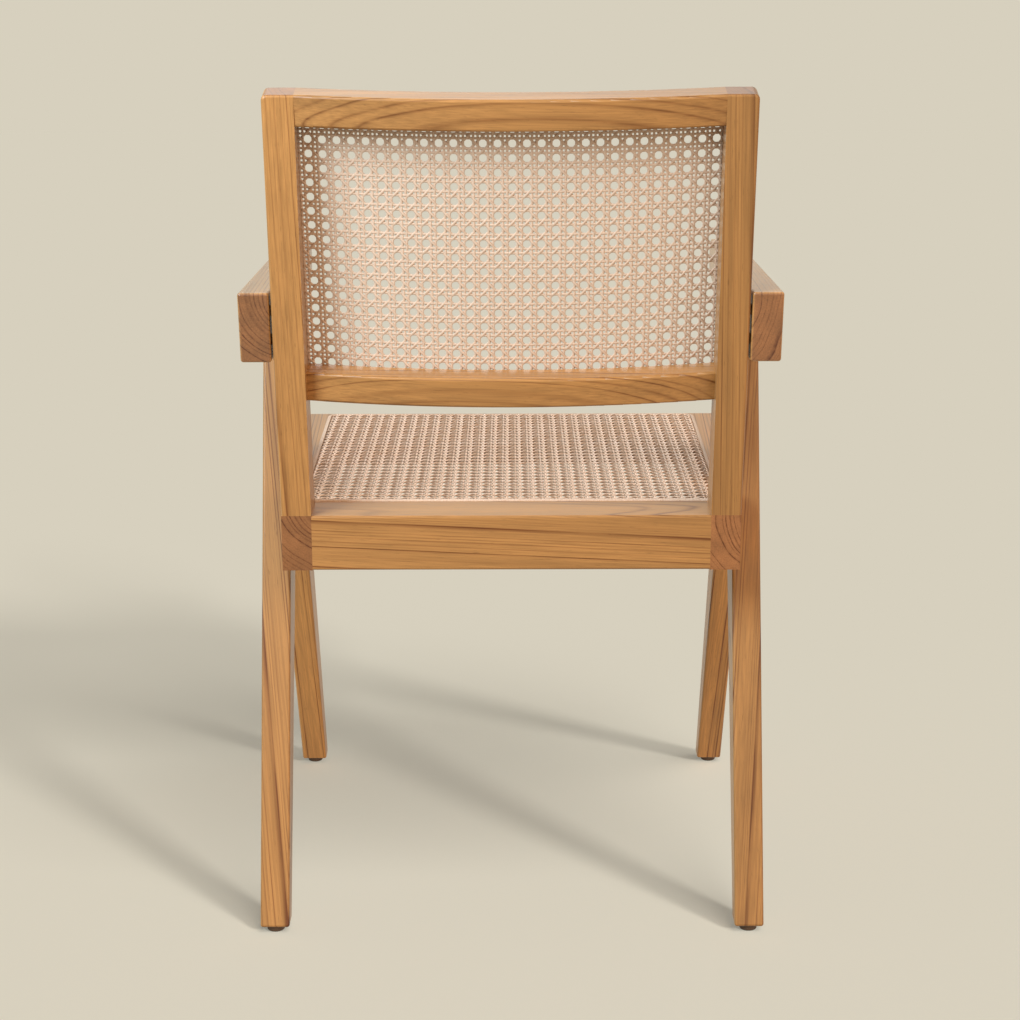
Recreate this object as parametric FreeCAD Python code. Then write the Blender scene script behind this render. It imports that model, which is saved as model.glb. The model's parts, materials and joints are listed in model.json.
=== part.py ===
import FreeCAD
import Part
import math
import os

# A teak armchair with inverted-V legs and panels of woven cane.
# Lengths are millimetres, angles degrees. The sitter faces -Y, left is +X, and the floor is Z = 0.
# A place in the depth plane is (reach, height): reach runs forward from the heel of the rear feet.

Vector = FreeCAD.Vector

# Boards: every frame piece is sawn from one thickness, and both sides open towards the front
BOARD = 28.0
EDGE_ROUND = 2.5
SIDE_HALF_WIDTH = 214.4
SIDE_OPENING_DEG = 1.04

# Seat frame: rails that slope down to the rear; the side rails widen to the front, with the legs let in
SEAT_REAR_HEIGHT = 406.0
SEAT_REAR_REACH = 30.0
SEAT_DEPTH = 458.0
SEAT_SLOPE_DEG = 2.6
SEAT_OPENING_DEG = 2.15
RAIL_HEIGHT = 53.0
REAR_RAIL_DEPTH = 66.0
FRONT_RAIL_DEPTH = 29.0
FRONT_EDGE_ROUND = 7.0

# Back frame: two tapered stiles and two bowed rails
BACK_RISE = 385.0
BACK_LEAN_DEG = 11.2
STILE_FOOT_DEPTH = 46.0
STILE_TOP_DEPTH = 29.0
STILE_CORNER_ROUND = 5.0
TOP_RAIL_HEIGHT = 28.0
LOWER_RAIL_HEIGHT = 28.0
LOWER_RAIL_DEPTH = 26.0
LOWER_RAIL_RISE = 117.0
BACK_BOW = 18.0

# Armrests: boards on edge, a shadow gap outside the stiles
ARM_TOP_HEIGHT = 618.6
ARM_REAR_DEPTH = 64.0
ARM_NOSE_DEPTH = 40.0
ARM_LENGTH = 482.0
ARM_RISE_DEG = 1.27
ARM_GAP = 1.7
ARM_NOSE_ROUND = 17.0
ARM_KNEE_ROUND = 260.0
ARM_KNEE_CLEAR = 34.0

# Legs: an inverted V on each side, tapered towards the floor
FOOT_SPREAD = 483.0
FOOT_DEPTH = 26.0
REAR_LEG_HEEL_DEG = 18.1
REAR_LEG_TOE_DEG = 22.6
FRONT_LEG_HEEL_DEG = 31.0
FRONT_LEG_TOE_DEG = 27.0

# Glides nailed under the feet
GLIDE_HEIGHT = 6.0
GLIDE_DIAMETER = 17.0
GLIDE_EDGE_ROUND = 2.0
NAIL_DIAMETER = 2.4
NAIL_HEAD_DIAMETER = 7.0
NAIL_HEAD_HEIGHT = 1.4
NAIL_HEAD_LIFT = 2.2
NAIL_LENGTH = 22.0

# Cane webbing, turned down into a groove and held there by a reed spline
GROOVE_WIDTH = 5.2
GROOVE_DEPTH = 8.0
GROOVE_CORNER = 13.0
SEAT_GROOVE_INSET = 12.7
SEAT_GROOVE_REAR_INSET = 53.0
BACK_LIP = 8.5
SPLINE_WIDTH = 3.8
SPLINE_PROUD = 1.6
SPLINE_ROUND = 1.4
CANE_THICKNESS = 1.4
CANE_RIM = 1.1
CANE_RIM_DEPTH = 6.0
CANE_CLEARANCE = 0.1
MESH_PITCH = 26.0
MESH_GAP = 18.0
MESH_GAP_SIDES = 8

# Dowels and screws
DOWEL = 10.0
SLIM_DOWEL = 8.0
DOWEL_IN_SIDE = 18.0
DOWEL_IN_RAIL = 24.0
DOWEL_IN_BOW = 16.0
DOWEL_IN_FOOT = 24.0
DOWEL_IN_MITRE = 15.0
DOWEL_IN_ARM = 22.0
FIT_CLEARANCE = 0.1
SCREW_SHANK = 4.6
SCREW_HEAD = 9.2
SCREW_HEAD_HEIGHT = 3.6
SCREW_IN_LEG = 16.0
SCREW_TIP = 6.0
SCREW_SPACING = 24.0

# Places as shares of the piece that carries them
RAIL_DOWEL_SHARES = (0.36, 0.74)
REAR_DOWEL_SHARE = 0.79
BACK_DOWEL_SHARES = (0.26, 0.74)
BACK_DOWEL_DEPTH_SHARE = 0.6
STILE_FOOT_SHARES = (0.27, 0.73)
MITRE_SHARES = (0.25, 0.6)
ARM_STILE_SHARES = (0.3, 0.72)
HALF_SHARE = 0.5
NEAR_SHARE = 0.05

OPENING = math.radians(SIDE_OPENING_DEG)
SLOPE = math.radians(SEAT_SLOPE_DEG)
LEAN = math.radians(BACK_LEAN_DEG)
ARM_RISE = math.radians(ARM_RISE_DEG)
REACH = 2 * (SEAT_REAR_HEIGHT + BACK_RISE)
ORIGIN = Vector(0, 0, 0)
X_AXIS = Vector(1, 0, 0)
Y_AXIS = Vector(0, 1, 0)
Z_AXIS = Vector(0, 0, 1)


def seat_point(forward, drop=0):
    """Place on the seat plane, or a drop below it, at a distance forward from its rear edge."""
    return (
        SEAT_REAR_REACH + forward * math.cos(SLOPE) + drop * math.sin(SLOPE),
        SEAT_REAR_HEIGHT + forward * math.sin(SLOPE) - drop * math.cos(SLOPE),
    )


def back_rear(height):
    """Reach of the stiles' rear face at a height."""
    return SEAT_REAR_REACH - (height - SEAT_REAR_HEIGHT) * math.tan(LEAN)


def meet(p, p_slope, q, q_slope):
    """Crossing of two lines through p and q, whose slopes are reach over height."""
    height = (q[0] - p[0] + p_slope * p[1] - q_slope * q[1]) / (p_slope - q_slope)
    return (p[0] + p_slope * (height - p[1]), height)


def between(p, q, share=HALF_SHARE):
    """Place at a share of the way from p to q."""
    return (p[0] + (q[0] - p[0]) * share, p[1] + (q[1] - p[1]) * share)


# The stiles' front face leans so that they taper from foot to top
STILE_REAR_FOOT = seat_point(0)
STILE_FRONT_FOOT = seat_point(STILE_FOOT_DEPTH)
BACK_TOP = SEAT_REAR_HEIGHT + BACK_RISE
STILE_REAR_TOP = (back_rear(BACK_TOP), BACK_TOP)
BACK_RUN = STILE_REAR_TOP[0] - STILE_FRONT_FOOT[0]
BACK_CLIMB = STILE_REAR_TOP[1] - STILE_FRONT_FOOT[1]
BACK_DIAGONAL = math.hypot(BACK_RUN, BACK_CLIMB)
FRONT_LEAN = math.atan2(BACK_CLIMB, BACK_RUN) - math.acos(-STILE_TOP_DEPTH / BACK_DIAGONAL)
STILE_FRONT_TOP = (
    STILE_REAR_TOP[0] + STILE_TOP_DEPTH * math.cos(FRONT_LEAN),
    STILE_REAR_TOP[1] + STILE_TOP_DEPTH * math.sin(FRONT_LEAN),
)
TOP_RAIL_RISE = math.dist(STILE_FRONT_FOOT, STILE_FRONT_TOP) - TOP_RAIL_HEIGHT
LOWER_RAIL_TOP = LOWER_RAIL_RISE + LOWER_RAIL_HEIGHT
BACK_LENGTH = TOP_RAIL_RISE + TOP_RAIL_HEIGHT


def back_half(rise):
    """Half the clear width between the stiles' front edges at a rise up the back."""
    reach = STILE_FRONT_FOOT[0] - rise * math.sin(FRONT_LEAN)
    return SIDE_HALF_WIDTH + reach * math.tan(OPENING) - BOARD / math.cos(OPENING)


BACK_HALF_OPENING = back_half(BACK_LENGTH)

# The armrest's rear end lies in the plane of the stiles' rear faces
ARM_UNDER_HEIGHT = ARM_TOP_HEIGHT - ARM_REAR_DEPTH
ARM_REAR_TOP = (back_rear(ARM_TOP_HEIGHT), ARM_TOP_HEIGHT)
ARM_REAR_UNDER = (back_rear(ARM_UNDER_HEIGHT), ARM_UNDER_HEIGHT)
ARM_FRONT_TOP = (ARM_REAR_TOP[0] + ARM_LENGTH, ARM_TOP_HEIGHT + ARM_LENGTH * math.tan(ARM_RISE))
ARM_FRONT_UNDER = (ARM_FRONT_TOP[0], ARM_FRONT_TOP[1] - ARM_NOSE_DEPTH)

# Both legs of a side end under the armrest and meet at a mitre
REAR_HEEL = (0, GLIDE_HEIGHT)
REAR_TOE = (FOOT_DEPTH, GLIDE_HEIGHT)
FRONT_HEEL = (FOOT_SPREAD, GLIDE_HEIGHT)
FRONT_TOE = (FOOT_SPREAD + FOOT_DEPTH, GLIDE_HEIGHT)
REAR_HEEL_SLOPE = math.tan(math.radians(REAR_LEG_HEEL_DEG))
REAR_TOE_SLOPE = math.tan(math.radians(REAR_LEG_TOE_DEG))
FRONT_HEEL_SLOPE = -math.tan(math.radians(FRONT_LEG_HEEL_DEG))
FRONT_TOE_SLOPE = -math.tan(math.radians(FRONT_LEG_TOE_DEG))
UNDER_ARM_SLOPE = 1 / math.tan(ARM_RISE)
REAR_LEG_TOP = meet(REAR_HEEL, REAR_HEEL_SLOPE, ARM_REAR_UNDER, UNDER_ARM_SLOPE)
FRONT_LEG_TOP = meet(FRONT_TOE, FRONT_TOE_SLOPE, ARM_REAR_UNDER, UNDER_ARM_SLOPE)
CROTCH = meet(REAR_TOE, REAR_TOE_SLOPE, FRONT_HEEL, FRONT_HEEL_SLOPE)
MITRE_TOP = between(REAR_LEG_TOP, FRONT_LEG_TOP)
REAR_LEG_OUTLINE = [REAR_HEEL, REAR_TOE, CROTCH, MITRE_TOP, REAR_LEG_TOP]
FRONT_LEG_OUTLINE = [FRONT_HEEL, FRONT_TOE, FRONT_LEG_TOP, MITRE_TOP, CROTCH]
KNEE_REACH = FRONT_LEG_TOP[0] + ARM_KNEE_CLEAR
ARM_KNEE = (KNEE_REACH, ARM_UNDER_HEIGHT + (KNEE_REACH - ARM_REAR_UNDER[0]) * math.tan(ARM_RISE))


def spot(place, x=0):
    """A (reach, height) place as a point in space."""
    return Vector(x, -place[0], place[1])


def in_side(shape):
    """Moves a shape from the left side's frame, x outwards from the rails' outer face, into the chair."""
    placed = shape.copy()
    placed.rotate(ORIGIN, Z_AXIS, SIDE_OPENING_DEG)
    placed.translate(Vector(SIDE_HALF_WIDTH, 0, 0))
    return placed


def on_seat(shape):
    """Moves a shape drawn flat, rear edge at y = 0 and top at z = 0, onto the sloping seat."""
    placed = shape.copy()
    placed.rotate(ORIGIN, X_AXIS, -SEAT_SLOPE_DEG)
    placed.translate(spot(STILE_REAR_FOOT))
    return placed


def on_back(shape):
    """Moves a shape drawn upright, front face at y = 0 and foot at z = 0, onto the leaning back."""
    placed = shape.copy()
    placed.rotate(ORIGIN, X_AXIS, -math.degrees(FRONT_LEAN))
    placed.translate(spot(STILE_FRONT_FOOT))
    return placed


def mirrored(shape):
    """The right-hand twin of a left-hand shape."""
    return shape.mirror(ORIGIN, X_AXIS)


def both_sides(shapes):
    """Left-hand shapes with their right-hand twins."""
    return shapes + [mirrored(shape) for shape in shapes]


def side_slab(inner, outer):
    """Endless upright slab along the left side, between two distances from the rails' outer face."""
    return in_side(Part.makeBox(outer - inner, 2 * REACH, REACH, Vector(inner, -REACH, 0)))


def ring_of(outline):
    """Closed ring of straight lines through (reach, height) places."""
    return Part.makePolygon([spot(place) for place in outline + outline[:1]])


def left_board(ring, inner, outer):
    """Board of the left side, sawn along a ring that is drawn in the chair's middle plane."""
    return Part.Face(ring).extrude(Vector(REACH, 0, 0)).common(side_slab(inner, outer)).Solids[0]


def edges_at(shape, places):
    """Edges whose middle, seen from the side, lies at one of the places."""
    near = BOARD * NEAR_SHARE
    middles = [spot(place) for place in places]
    found = []
    for edge in shape.Edges:
        seen = edge.CenterOfMass
        seen.x = 0
        if min(seen.distanceToPoint(middle) for middle in middles) < near:
            found.append(edge)
    return found


def rounded(solid, radius, edges):
    """Solid with some of its edges rounded."""
    return solid.makeFillet(radius, edges).Solids[0]


def broad_face_rims(shape):
    """Edges around the two broad faces of a board."""
    broad = sorted(shape.Faces, key=lambda face: face.Area)[-2:]
    return [edge for face in broad for edge in face.OuterWire.Edges]


def leg(outline, sole):
    """Tapered leg board; the long edges and those of its sole are eased."""
    board = left_board(ring_of(outline), 0, BOARD)
    long_sides = [between(outline[0], outline[-1]), between(outline[1], outline[2])]
    return rounded(board, EDGE_ROUND, edges_at(board, long_sides + sole + [between(*sole)]))


def rear_leg():
    return leg(REAR_LEG_OUTLINE, [REAR_HEEL, REAR_TOE])


def front_leg():
    return leg(FRONT_LEG_OUTLINE, [FRONT_HEEL, FRONT_TOE])


def arm_ring():
    """Ring of the armrest: straight lines, and an arc where its underside turns up at the knee."""
    knee = spot(ARM_KNEE)
    rearward = (spot(ARM_REAR_UNDER) - knee).normalize()
    forward = (spot(ARM_FRONT_UNDER) - knee).normalize()
    half_turn = (math.pi - rearward.getAngle(forward)) / 2
    run = ARM_KNEE_ROUND * math.tan(half_turn)
    crown = knee + (rearward + forward).normalize() * ARM_KNEE_ROUND * (1 / math.cos(half_turn) - 1)
    start = knee + forward * run
    end = knee + rearward * run
    corners = [spot(place) for place in (ARM_REAR_UNDER, ARM_REAR_TOP, ARM_FRONT_TOP, ARM_FRONT_UNDER)]
    lines = Part.makePolygon([end] + corners + [start])
    return Part.Wire(lines.Edges + [Part.Arc(start, crown, end).toShape()])


def armrest():
    """Board on edge, deep where it meets the stile and drawn in to a round nose."""
    board = left_board(arm_ring(), ARM_GAP, ARM_GAP + BOARD)
    board = rounded(board, ARM_NOSE_ROUND, edges_at(board, [ARM_FRONT_TOP, ARM_FRONT_UNDER]))
    rear_edges = edges_at(board, [ARM_REAR_UNDER, ARM_REAR_TOP])
    return rounded(board, EDGE_ROUND, broad_face_rims(board) + rear_edges)


def seat_bar(rear, front):
    """Bar across the seat frame, endless in width, between two distances from the rear edge."""
    corner = Vector(-REACH, -front, -RAIL_HEIGHT)
    return on_seat(Part.makeBox(2 * REACH, front - rear, RAIL_HEIGHT, corner))


def trimmed_between(bar):
    """Bar cut to fit between the inner faces of both sides."""
    outside = side_slab(-BOARD, REACH)
    return bar.cut([outside, mirrored(outside)]).Solids[0]


def inside_rail_face():
    """Endless block inside the left rail's outer face, which opens forward from the rear of the seat."""
    block = Part.makeBox(REACH, 2 * REACH, REACH, Vector(-REACH, -REACH, 0))
    block.rotate(ORIGIN, Z_AXIS, SEAT_OPENING_DEG)
    rear_half = SIDE_HALF_WIDTH + SEAT_REAR_REACH * math.tan(OPENING)
    block.translate(spot((SEAT_REAR_REACH, 0), rear_half))
    return block


def side_rail():
    """Rail that carries the stile on its rear end and is housed for the legs; rounded at the front."""
    board = seat_bar(0, SEAT_DEPTH).common(side_slab(-BOARD, BOARD)).common(inside_rail_face()).Solids[0]
    board = rounded(board, FRONT_EDGE_ROUND, edges_at(board, [seat_point(SEAT_DEPTH)]))
    housings = [left_board(ring_of(outline), 0, BOARD) for outline in (REAR_LEG_OUTLINE, FRONT_LEG_OUTLINE)]
    return board.cut(housings).Solids[0]


def rear_seat_rail():
    bar = trimmed_between(seat_bar(0, REAR_RAIL_DEPTH))
    return rounded(bar, EDGE_ROUND, edges_at(bar, [seat_point(0), seat_point(0, RAIL_HEIGHT)]))


def front_seat_rail():
    bar = trimmed_between(seat_bar(SEAT_DEPTH - FRONT_RAIL_DEPTH, SEAT_DEPTH))
    return rounded(bar, FRONT_EDGE_ROUND, edges_at(bar, [seat_point(SEAT_DEPTH)]))


def back_stile():
    """Leaning stile; its outer top corner and outer edges are rounded."""
    outline = [STILE_REAR_FOOT, STILE_FRONT_FOOT, STILE_FRONT_TOP, STILE_REAR_TOP]
    board = left_board(ring_of(outline), -BOARD, 0)
    top_edges = edges_at(board, [between(STILE_FRONT_TOP, STILE_REAR_TOP)])
    outer_top = max(top_edges, key=lambda edge: edge.CenterOfMass.x)
    board = rounded(board, STILE_CORNER_ROUND, [outer_top])
    middle = board.CenterOfMass.x
    long_edges = [edge for edge in board.Edges if edge.Length > BACK_RISE * HALF_SHARE]
    return rounded(board, EDGE_ROUND, [edge for edge in long_edges if edge.CenterOfMass.x > middle])


def bowed_slab(half, front, rear, low, high):
    """Upright slab between two depths behind the back's front, bowed to the rear within a half width."""
    end = half + BOARD

    def line(x1, y1, x2, y2):
        return Part.LineSegment(Vector(x1, y1, low), Vector(x2, y2, low)).toShape()

    def bow(y):
        return Part.Arc(Vector(-half, y, low), Vector(0, y + BACK_BOW, low), Vector(half, y, low)).toShape()

    ring = [
        line(-end, front, -half, front),
        bow(front),
        line(half, front, end, front),
        line(end, front, end, rear),
        line(end, rear, half, rear),
        bow(rear),
        line(-half, rear, -end, rear),
        line(-end, rear, -end, front),
    ]
    wire = Part.Wire(Part.__sortEdges__(ring))
    return Part.Face(wire).extrude(Vector(0, 0, high - low))


def back_rail(depth, low, height):
    """Bowed rail between the stiles, its long edges eased."""
    bar = trimmed_between(on_back(bowed_slab(back_half(low), 0, depth, low, low + height)))
    long_edges = [edge for edge in bar.Edges if edge.Length > BACK_HALF_OPENING]
    return rounded(bar, EDGE_ROUND, long_edges)


def prism(corners, along, corner_round):
    """Straight prism over a ring of corners, with its upright edges rounded."""
    block = Part.Face(Part.makePolygon(corners + corners[:1])).extrude(along)
    upright = [edge for edge in block.Edges if (edge.Curve.Direction.cross(along)).Length < NEAR_SHARE]
    return rounded(block, corner_round, upright)


def seat_plug(inset, low, high):
    """Prism inside the seat's groove line, drawn flat, inset from the groove's outer wall."""
    rear = SEAT_GROOVE_REAR_INSET + inset
    front = SEAT_DEPTH - SEAT_GROOVE_INSET - inset
    corners = []
    for forward, sign in ((rear, -1), (rear, 1), (front, 1), (front, -1)):
        outer = SIDE_HALF_WIDTH + seat_point(forward)[0] * math.tan(OPENING)
        half = outer - (SEAT_GROOVE_INSET + inset) / math.cos(OPENING)
        corners.append(Vector(sign * half, -forward, low))
    return prism(corners, Vector(0, 0, high - low), GROOVE_CORNER - inset)


def back_plug(inset, front, rear):
    """Prism inside the back's groove line, drawn upright, inset from the groove's outer wall."""
    margin = BACK_LIP + GROOVE_WIDTH - inset
    half = BACK_HALF_OPENING + margin
    low = LOWER_RAIL_TOP - margin
    high = TOP_RAIL_RISE + margin
    corners = [Vector(x, front, z) for x, z in ((-half, low), (half, low), (half, high), (-half, high))]
    return prism(corners, Vector(0, rear + BACK_BOW - front, 0), GROOVE_CORNER - inset)


def seat_ring(outer, inner, low, high):
    """Ring along the seat's groove between two insets."""
    return on_seat(seat_plug(outer, low, high).cut(seat_plug(inner, low, high)))


def back_ring(outer, inner, front, rear):
    """Ring along the back's groove between two insets, following the bow."""
    ring = back_plug(outer, front, rear).cut(back_plug(inner, front, rear))
    return on_back(ring.common(bowed_slab(BACK_HALF_OPENING, front, rear, 0, BACK_LENGTH)))


RIM_OUTER = GROOVE_WIDTH - CANE_CLEARANCE - CANE_RIM
RIM_INNER = GROOVE_WIDTH - CANE_CLEARANCE
CANE_TOP = CANE_CLEARANCE + CANE_THICKNESS
SPLINE_INNER = CANE_CLEARANCE + SPLINE_WIDTH
SPLINE_FOOT = GROOVE_DEPTH - CANE_CLEARANCE


def seat_groove():
    return seat_ring(0, GROOVE_WIDTH, -GROOVE_DEPTH, SPLINE_PROUD)


def back_groove():
    return back_ring(0, GROOVE_WIDTH, -SPLINE_PROUD, GROOVE_DEPTH)


def seat_spline():
    """Reed driven into the seat's groove, its crown standing a little proud."""
    ring = seat_ring(CANE_CLEARANCE, SPLINE_INNER, -SPLINE_FOOT, SPLINE_PROUD).Solids[0]
    crown = max(ring.Faces, key=lambda face: face.CenterOfMass.z)
    return rounded(ring, SPLINE_ROUND, crown.Edges)


def back_spline():
    """Reed driven into the back's groove, bent to the bow."""
    return back_ring(CANE_CLEARANCE, SPLINE_INNER, -SPLINE_PROUD, SPLINE_FOOT).Solids[0]


def mesh_gap(x, y, upright):
    """Eight-sided gap of the webbing centred at a place."""
    half_turn = math.pi / MESH_GAP_SIDES
    radius = MESH_GAP * HALF_SHARE / math.cos(half_turn)
    corners = []
    for step in range(MESH_GAP_SIDES + 1):
        turn = half_turn * (2 * step + 1)
        along = x + radius * math.cos(turn)
        across = y + radius * math.sin(turn)
        corners.append(Vector(along, 0, across) if upright else Vector(along, across, 0))
    return Part.makePolygon(corners)


def gap_places(low, high):
    """Evenly pitched places, centred, for as many gaps as fit between two limits."""
    count = int((high - low - (MESH_PITCH - MESH_GAP)) // MESH_PITCH)
    first = (low + high - (count - 1) * MESH_PITCH) * HALF_SHARE
    return [first + step * MESH_PITCH for step in range(count)]


def holed_sheet(plug, half, low, high, upright):
    """Sheet over a plug's outline, on the plane where the plug starts, with gaps in rows and columns."""
    normal = Y_AXIS if upright else Z_AXIS
    rim = min(plug.Faces, key=lambda face: abs(face.CenterOfMass.dot(normal)))
    gaps = [mesh_gap(x, y, upright) for y in gap_places(low, high) for x in gap_places(-half, half)]
    return Part.makeFace([rim.OuterWire] + gaps, "Part::FaceMakerBullseye")


def seat_cane():
    """Webbing over the seat, turned down into the groove all round."""
    rear = REAR_RAIL_DEPTH
    front = SEAT_DEPTH - FRONT_RAIL_DEPTH
    half = SIDE_HALF_WIDTH + seat_point(rear)[0] * math.tan(OPENING) - BOARD / math.cos(OPENING)
    plug = seat_plug(RIM_OUTER, 0, CANE_THICKNESS)
    sheet = holed_sheet(plug, half, -front, -rear, False).extrude(Vector(0, 0, CANE_THICKNESS))
    sheet.translate(Vector(0, 0, CANE_CLEARANCE))
    rim = seat_ring(RIM_OUTER, RIM_INNER, -CANE_RIM_DEPTH, CANE_TOP)
    return on_seat(sheet).fuse(rim).removeSplitter().Solids[0]


def back_cane():
    """Webbing over the bowed back, turned down into the groove all round."""
    plug = back_plug(RIM_OUTER, 0, BACK_BOW)
    sheet = holed_sheet(plug, BACK_HALF_OPENING, LOWER_RAIL_TOP, TOP_RAIL_RISE, True)
    sheet = sheet.extrude(Vector(0, 2 * BACK_BOW, 0))
    sheet.translate(Vector(0, -CANE_TOP, 0))
    layer = bowed_slab(BACK_HALF_OPENING, -CANE_TOP, -CANE_CLEARANCE, 0, BACK_LENGTH)
    sheet = on_back(sheet.common(layer))
    rim = back_ring(RIM_OUTER, RIM_INNER, -CANE_TOP, CANE_RIM_DEPTH)
    return sheet.fuse(rim).removeSplitter().Solids[0]


def cross_pin(place, inner, outer, diameter, grow=0):
    """Round pin square to the left side, between two distances from the rails' outer face."""
    start = Vector(inner - grow, -place[0], place[1])
    return in_side(Part.makeCylinder(diameter * HALF_SHARE + grow, outer - inner + 2 * grow, start, X_AXIS))


def plane_pin(place, towards, depth, x, diameter, grow=0):
    """Round pin inside a board of the left side, as deep on both sides of a place and aimed at another."""
    aim = (spot(towards) - spot(place)).normalize()
    start = spot(place, x) - aim * (depth + grow)
    return in_side(Part.makeCylinder(diameter * HALF_SHARE + grow, 2 * (depth + grow), start, aim))


def seat_rail_dowels(grow=0):
    """Left-hand dowels from the side rail into the rear and front rails."""
    forwards = (REAR_RAIL_DEPTH * REAR_DOWEL_SHARE, SEAT_DEPTH - FRONT_RAIL_DEPTH * HALF_SHARE)
    places = [seat_point(q, RAIL_HEIGHT * share) for q in forwards for share in RAIL_DOWEL_SHARES]
    return [cross_pin(p, -BOARD - DOWEL_IN_RAIL, DOWEL_IN_SIDE - BOARD, DOWEL, grow) for p in places]


def back_rail_dowels(grow=0):
    """Left-hand dowels from the stile into the top and lower back rails."""
    pins = []
    rails = (
        (LOWER_RAIL_RISE, LOWER_RAIL_HEIGHT, LOWER_RAIL_DEPTH),
        (TOP_RAIL_RISE, TOP_RAIL_HEIGHT, STILE_TOP_DEPTH),
    )
    for low, height, depth in rails:
        for share in BACK_DOWEL_SHARES:
            point = on_back(Part.Vertex(0, depth * BACK_DOWEL_DEPTH_SHARE, low + height * share)).Point
            place = (-point.y, point.z)
            pins.append(cross_pin(place, -BOARD - DOWEL_IN_BOW, DOWEL_IN_SIDE - BOARD, SLIM_DOWEL, grow))
    return pins


def stile_foot_dowels(grow=0):
    """Left-hand dowels that stand in the side rail and hold the stile."""
    top = between(STILE_REAR_TOP, STILE_FRONT_TOP)
    foot = between(STILE_REAR_FOOT, STILE_FRONT_FOOT)
    pins = []
    for share in STILE_FOOT_SHARES:
        place = between(STILE_REAR_FOOT, STILE_FRONT_FOOT, share)
        towards = (place[0] + top[0] - foot[0], place[1] + top[1] - foot[1])
        pins.append(plane_pin(place, towards, DOWEL_IN_FOOT, -BOARD * HALF_SHARE, SLIM_DOWEL, grow))
    return pins


def arm_stile_dowels(grow=0):
    """Left-hand dowels from the stile across the shadow gap into the armrest."""
    pins = []
    for share in ARM_STILE_SHARES:
        height = ARM_UNDER_HEIGHT + ARM_REAR_DEPTH * share
        front = STILE_FRONT_FOOT[0] - (height - STILE_FRONT_FOOT[1]) * math.tan(FRONT_LEAN)
        place = between((back_rear(height), height), (front, height))
        pins.append(cross_pin(place, -DOWEL_IN_SIDE, ARM_GAP + DOWEL_IN_SIDE, DOWEL, grow))
    return pins


def leg_mitre_dowels(grow=0):
    """Left-hand dowels square to the mitre between the two legs."""
    pins = []
    along = (MITRE_TOP[0] - CROTCH[0], MITRE_TOP[1] - CROTCH[1])
    for share in MITRE_SHARES:
        place = between(CROTCH, MITRE_TOP, share)
        towards = (place[0] + along[1], place[1] - along[0])
        pins.append(plane_pin(place, towards, DOWEL_IN_MITRE, BOARD * HALF_SHARE, SLIM_DOWEL, grow))
    return pins


def arm_leg_dowels(grow=0):
    """Left-hand dowels from the tops of both legs into the armrest."""
    pins = []
    for top in (REAR_LEG_TOP, FRONT_LEG_TOP):
        place = between(top, MITRE_TOP)
        towards = (place[0] + MITRE_TOP[0] - CROTCH[0], place[1] + MITRE_TOP[1] - CROTCH[1])
        pins.append(plane_pin(place, towards, DOWEL_IN_ARM, BOARD * HALF_SHARE, SLIM_DOWEL, grow))
    return pins


def leg_screw_places():
    """Two places on each leg, along the middle of the side rail where the leg crosses it."""
    rail_slope = 1 / math.tan(SLOPE)
    middle = seat_point(0, RAIL_HEIGHT * HALF_SHARE)
    places = []
    for heel, heel_slope, toe, toe_slope in (
        (REAR_HEEL, REAR_HEEL_SLOPE, REAR_TOE, REAR_TOE_SLOPE),
        (FRONT_HEEL, FRONT_HEEL_SLOPE, FRONT_TOE, FRONT_TOE_SLOPE),
    ):
        behind = meet(heel, heel_slope, middle, rail_slope)
        ahead = meet(toe, toe_slope, middle, rail_slope)
        centre = between(behind, ahead)
        for sign in (-1, 1):
            shift = sign * SCREW_SPACING * HALF_SHARE
            places.append((centre[0] + shift, centre[1] + shift * math.tan(SLOPE)))
    return places


def leg_screws(grow=0):
    """Left-hand countersunk screws from inside the side rail into the legs."""
    screws = []
    head = SCREW_HEAD * HALF_SHARE + grow
    shank = SCREW_SHANK * HALF_SHARE + grow
    for place in leg_screw_places():
        start = Vector(-BOARD, -place[0], place[1])
        neck = start + X_AXIS * SCREW_HEAD_HEIGHT
        length = BOARD - SCREW_HEAD_HEIGHT + SCREW_IN_LEG
        tip = neck + X_AXIS * length
        body = Part.makeCone(head, shank, SCREW_HEAD_HEIGHT, start, X_AXIS)
        body = body.fuse(Part.makeCylinder(shank, length, neck, X_AXIS))
        body = body.fuse(Part.makeCone(shank, grow, SCREW_TIP + grow, tip, X_AXIS))
        screws.append(in_side(body.Solids[0]))
    return screws


def sole_places():
    """Middles of the rear and front soles on the left."""
    return [between(REAR_HEEL, REAR_TOE), between(FRONT_HEEL, FRONT_TOE)]


def glide_nail(place, grow=0):
    """Nail whose head sits inside the glide."""
    lift = NAIL_HEAD_LIFT - grow
    foot = Vector(BOARD * HALF_SHARE, -place[0], lift)
    head_height = NAIL_HEAD_HEIGHT + 2 * grow
    shank_foot = foot + Z_AXIS * head_height
    shank_length = NAIL_LENGTH - NAIL_HEAD_HEIGHT
    nail = Part.makeCylinder(NAIL_HEAD_DIAMETER * HALF_SHARE + grow, head_height, foot)
    nail = nail.fuse(Part.makeCylinder(NAIL_DIAMETER * HALF_SHARE + grow, shank_length, shank_foot))
    return in_side(nail.Solids[0])


def glide(place):
    """Round glide under a foot, with room inside for its nail."""
    middle = Vector(BOARD * HALF_SHARE, -place[0], 0)
    disc = Part.makeCylinder(GLIDE_DIAMETER * HALF_SHARE, GLIDE_HEIGHT, middle)
    sole = [edge for edge in disc.Edges if edge.CenterOfMass.z < GLIDE_EDGE_ROUND and edge.Closed]
    disc = rounded(disc, GLIDE_EDGE_ROUND, sole)
    return in_side(disc).cut(glide_nail(place, FIT_CLEARANCE)).Solids[0]


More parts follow.
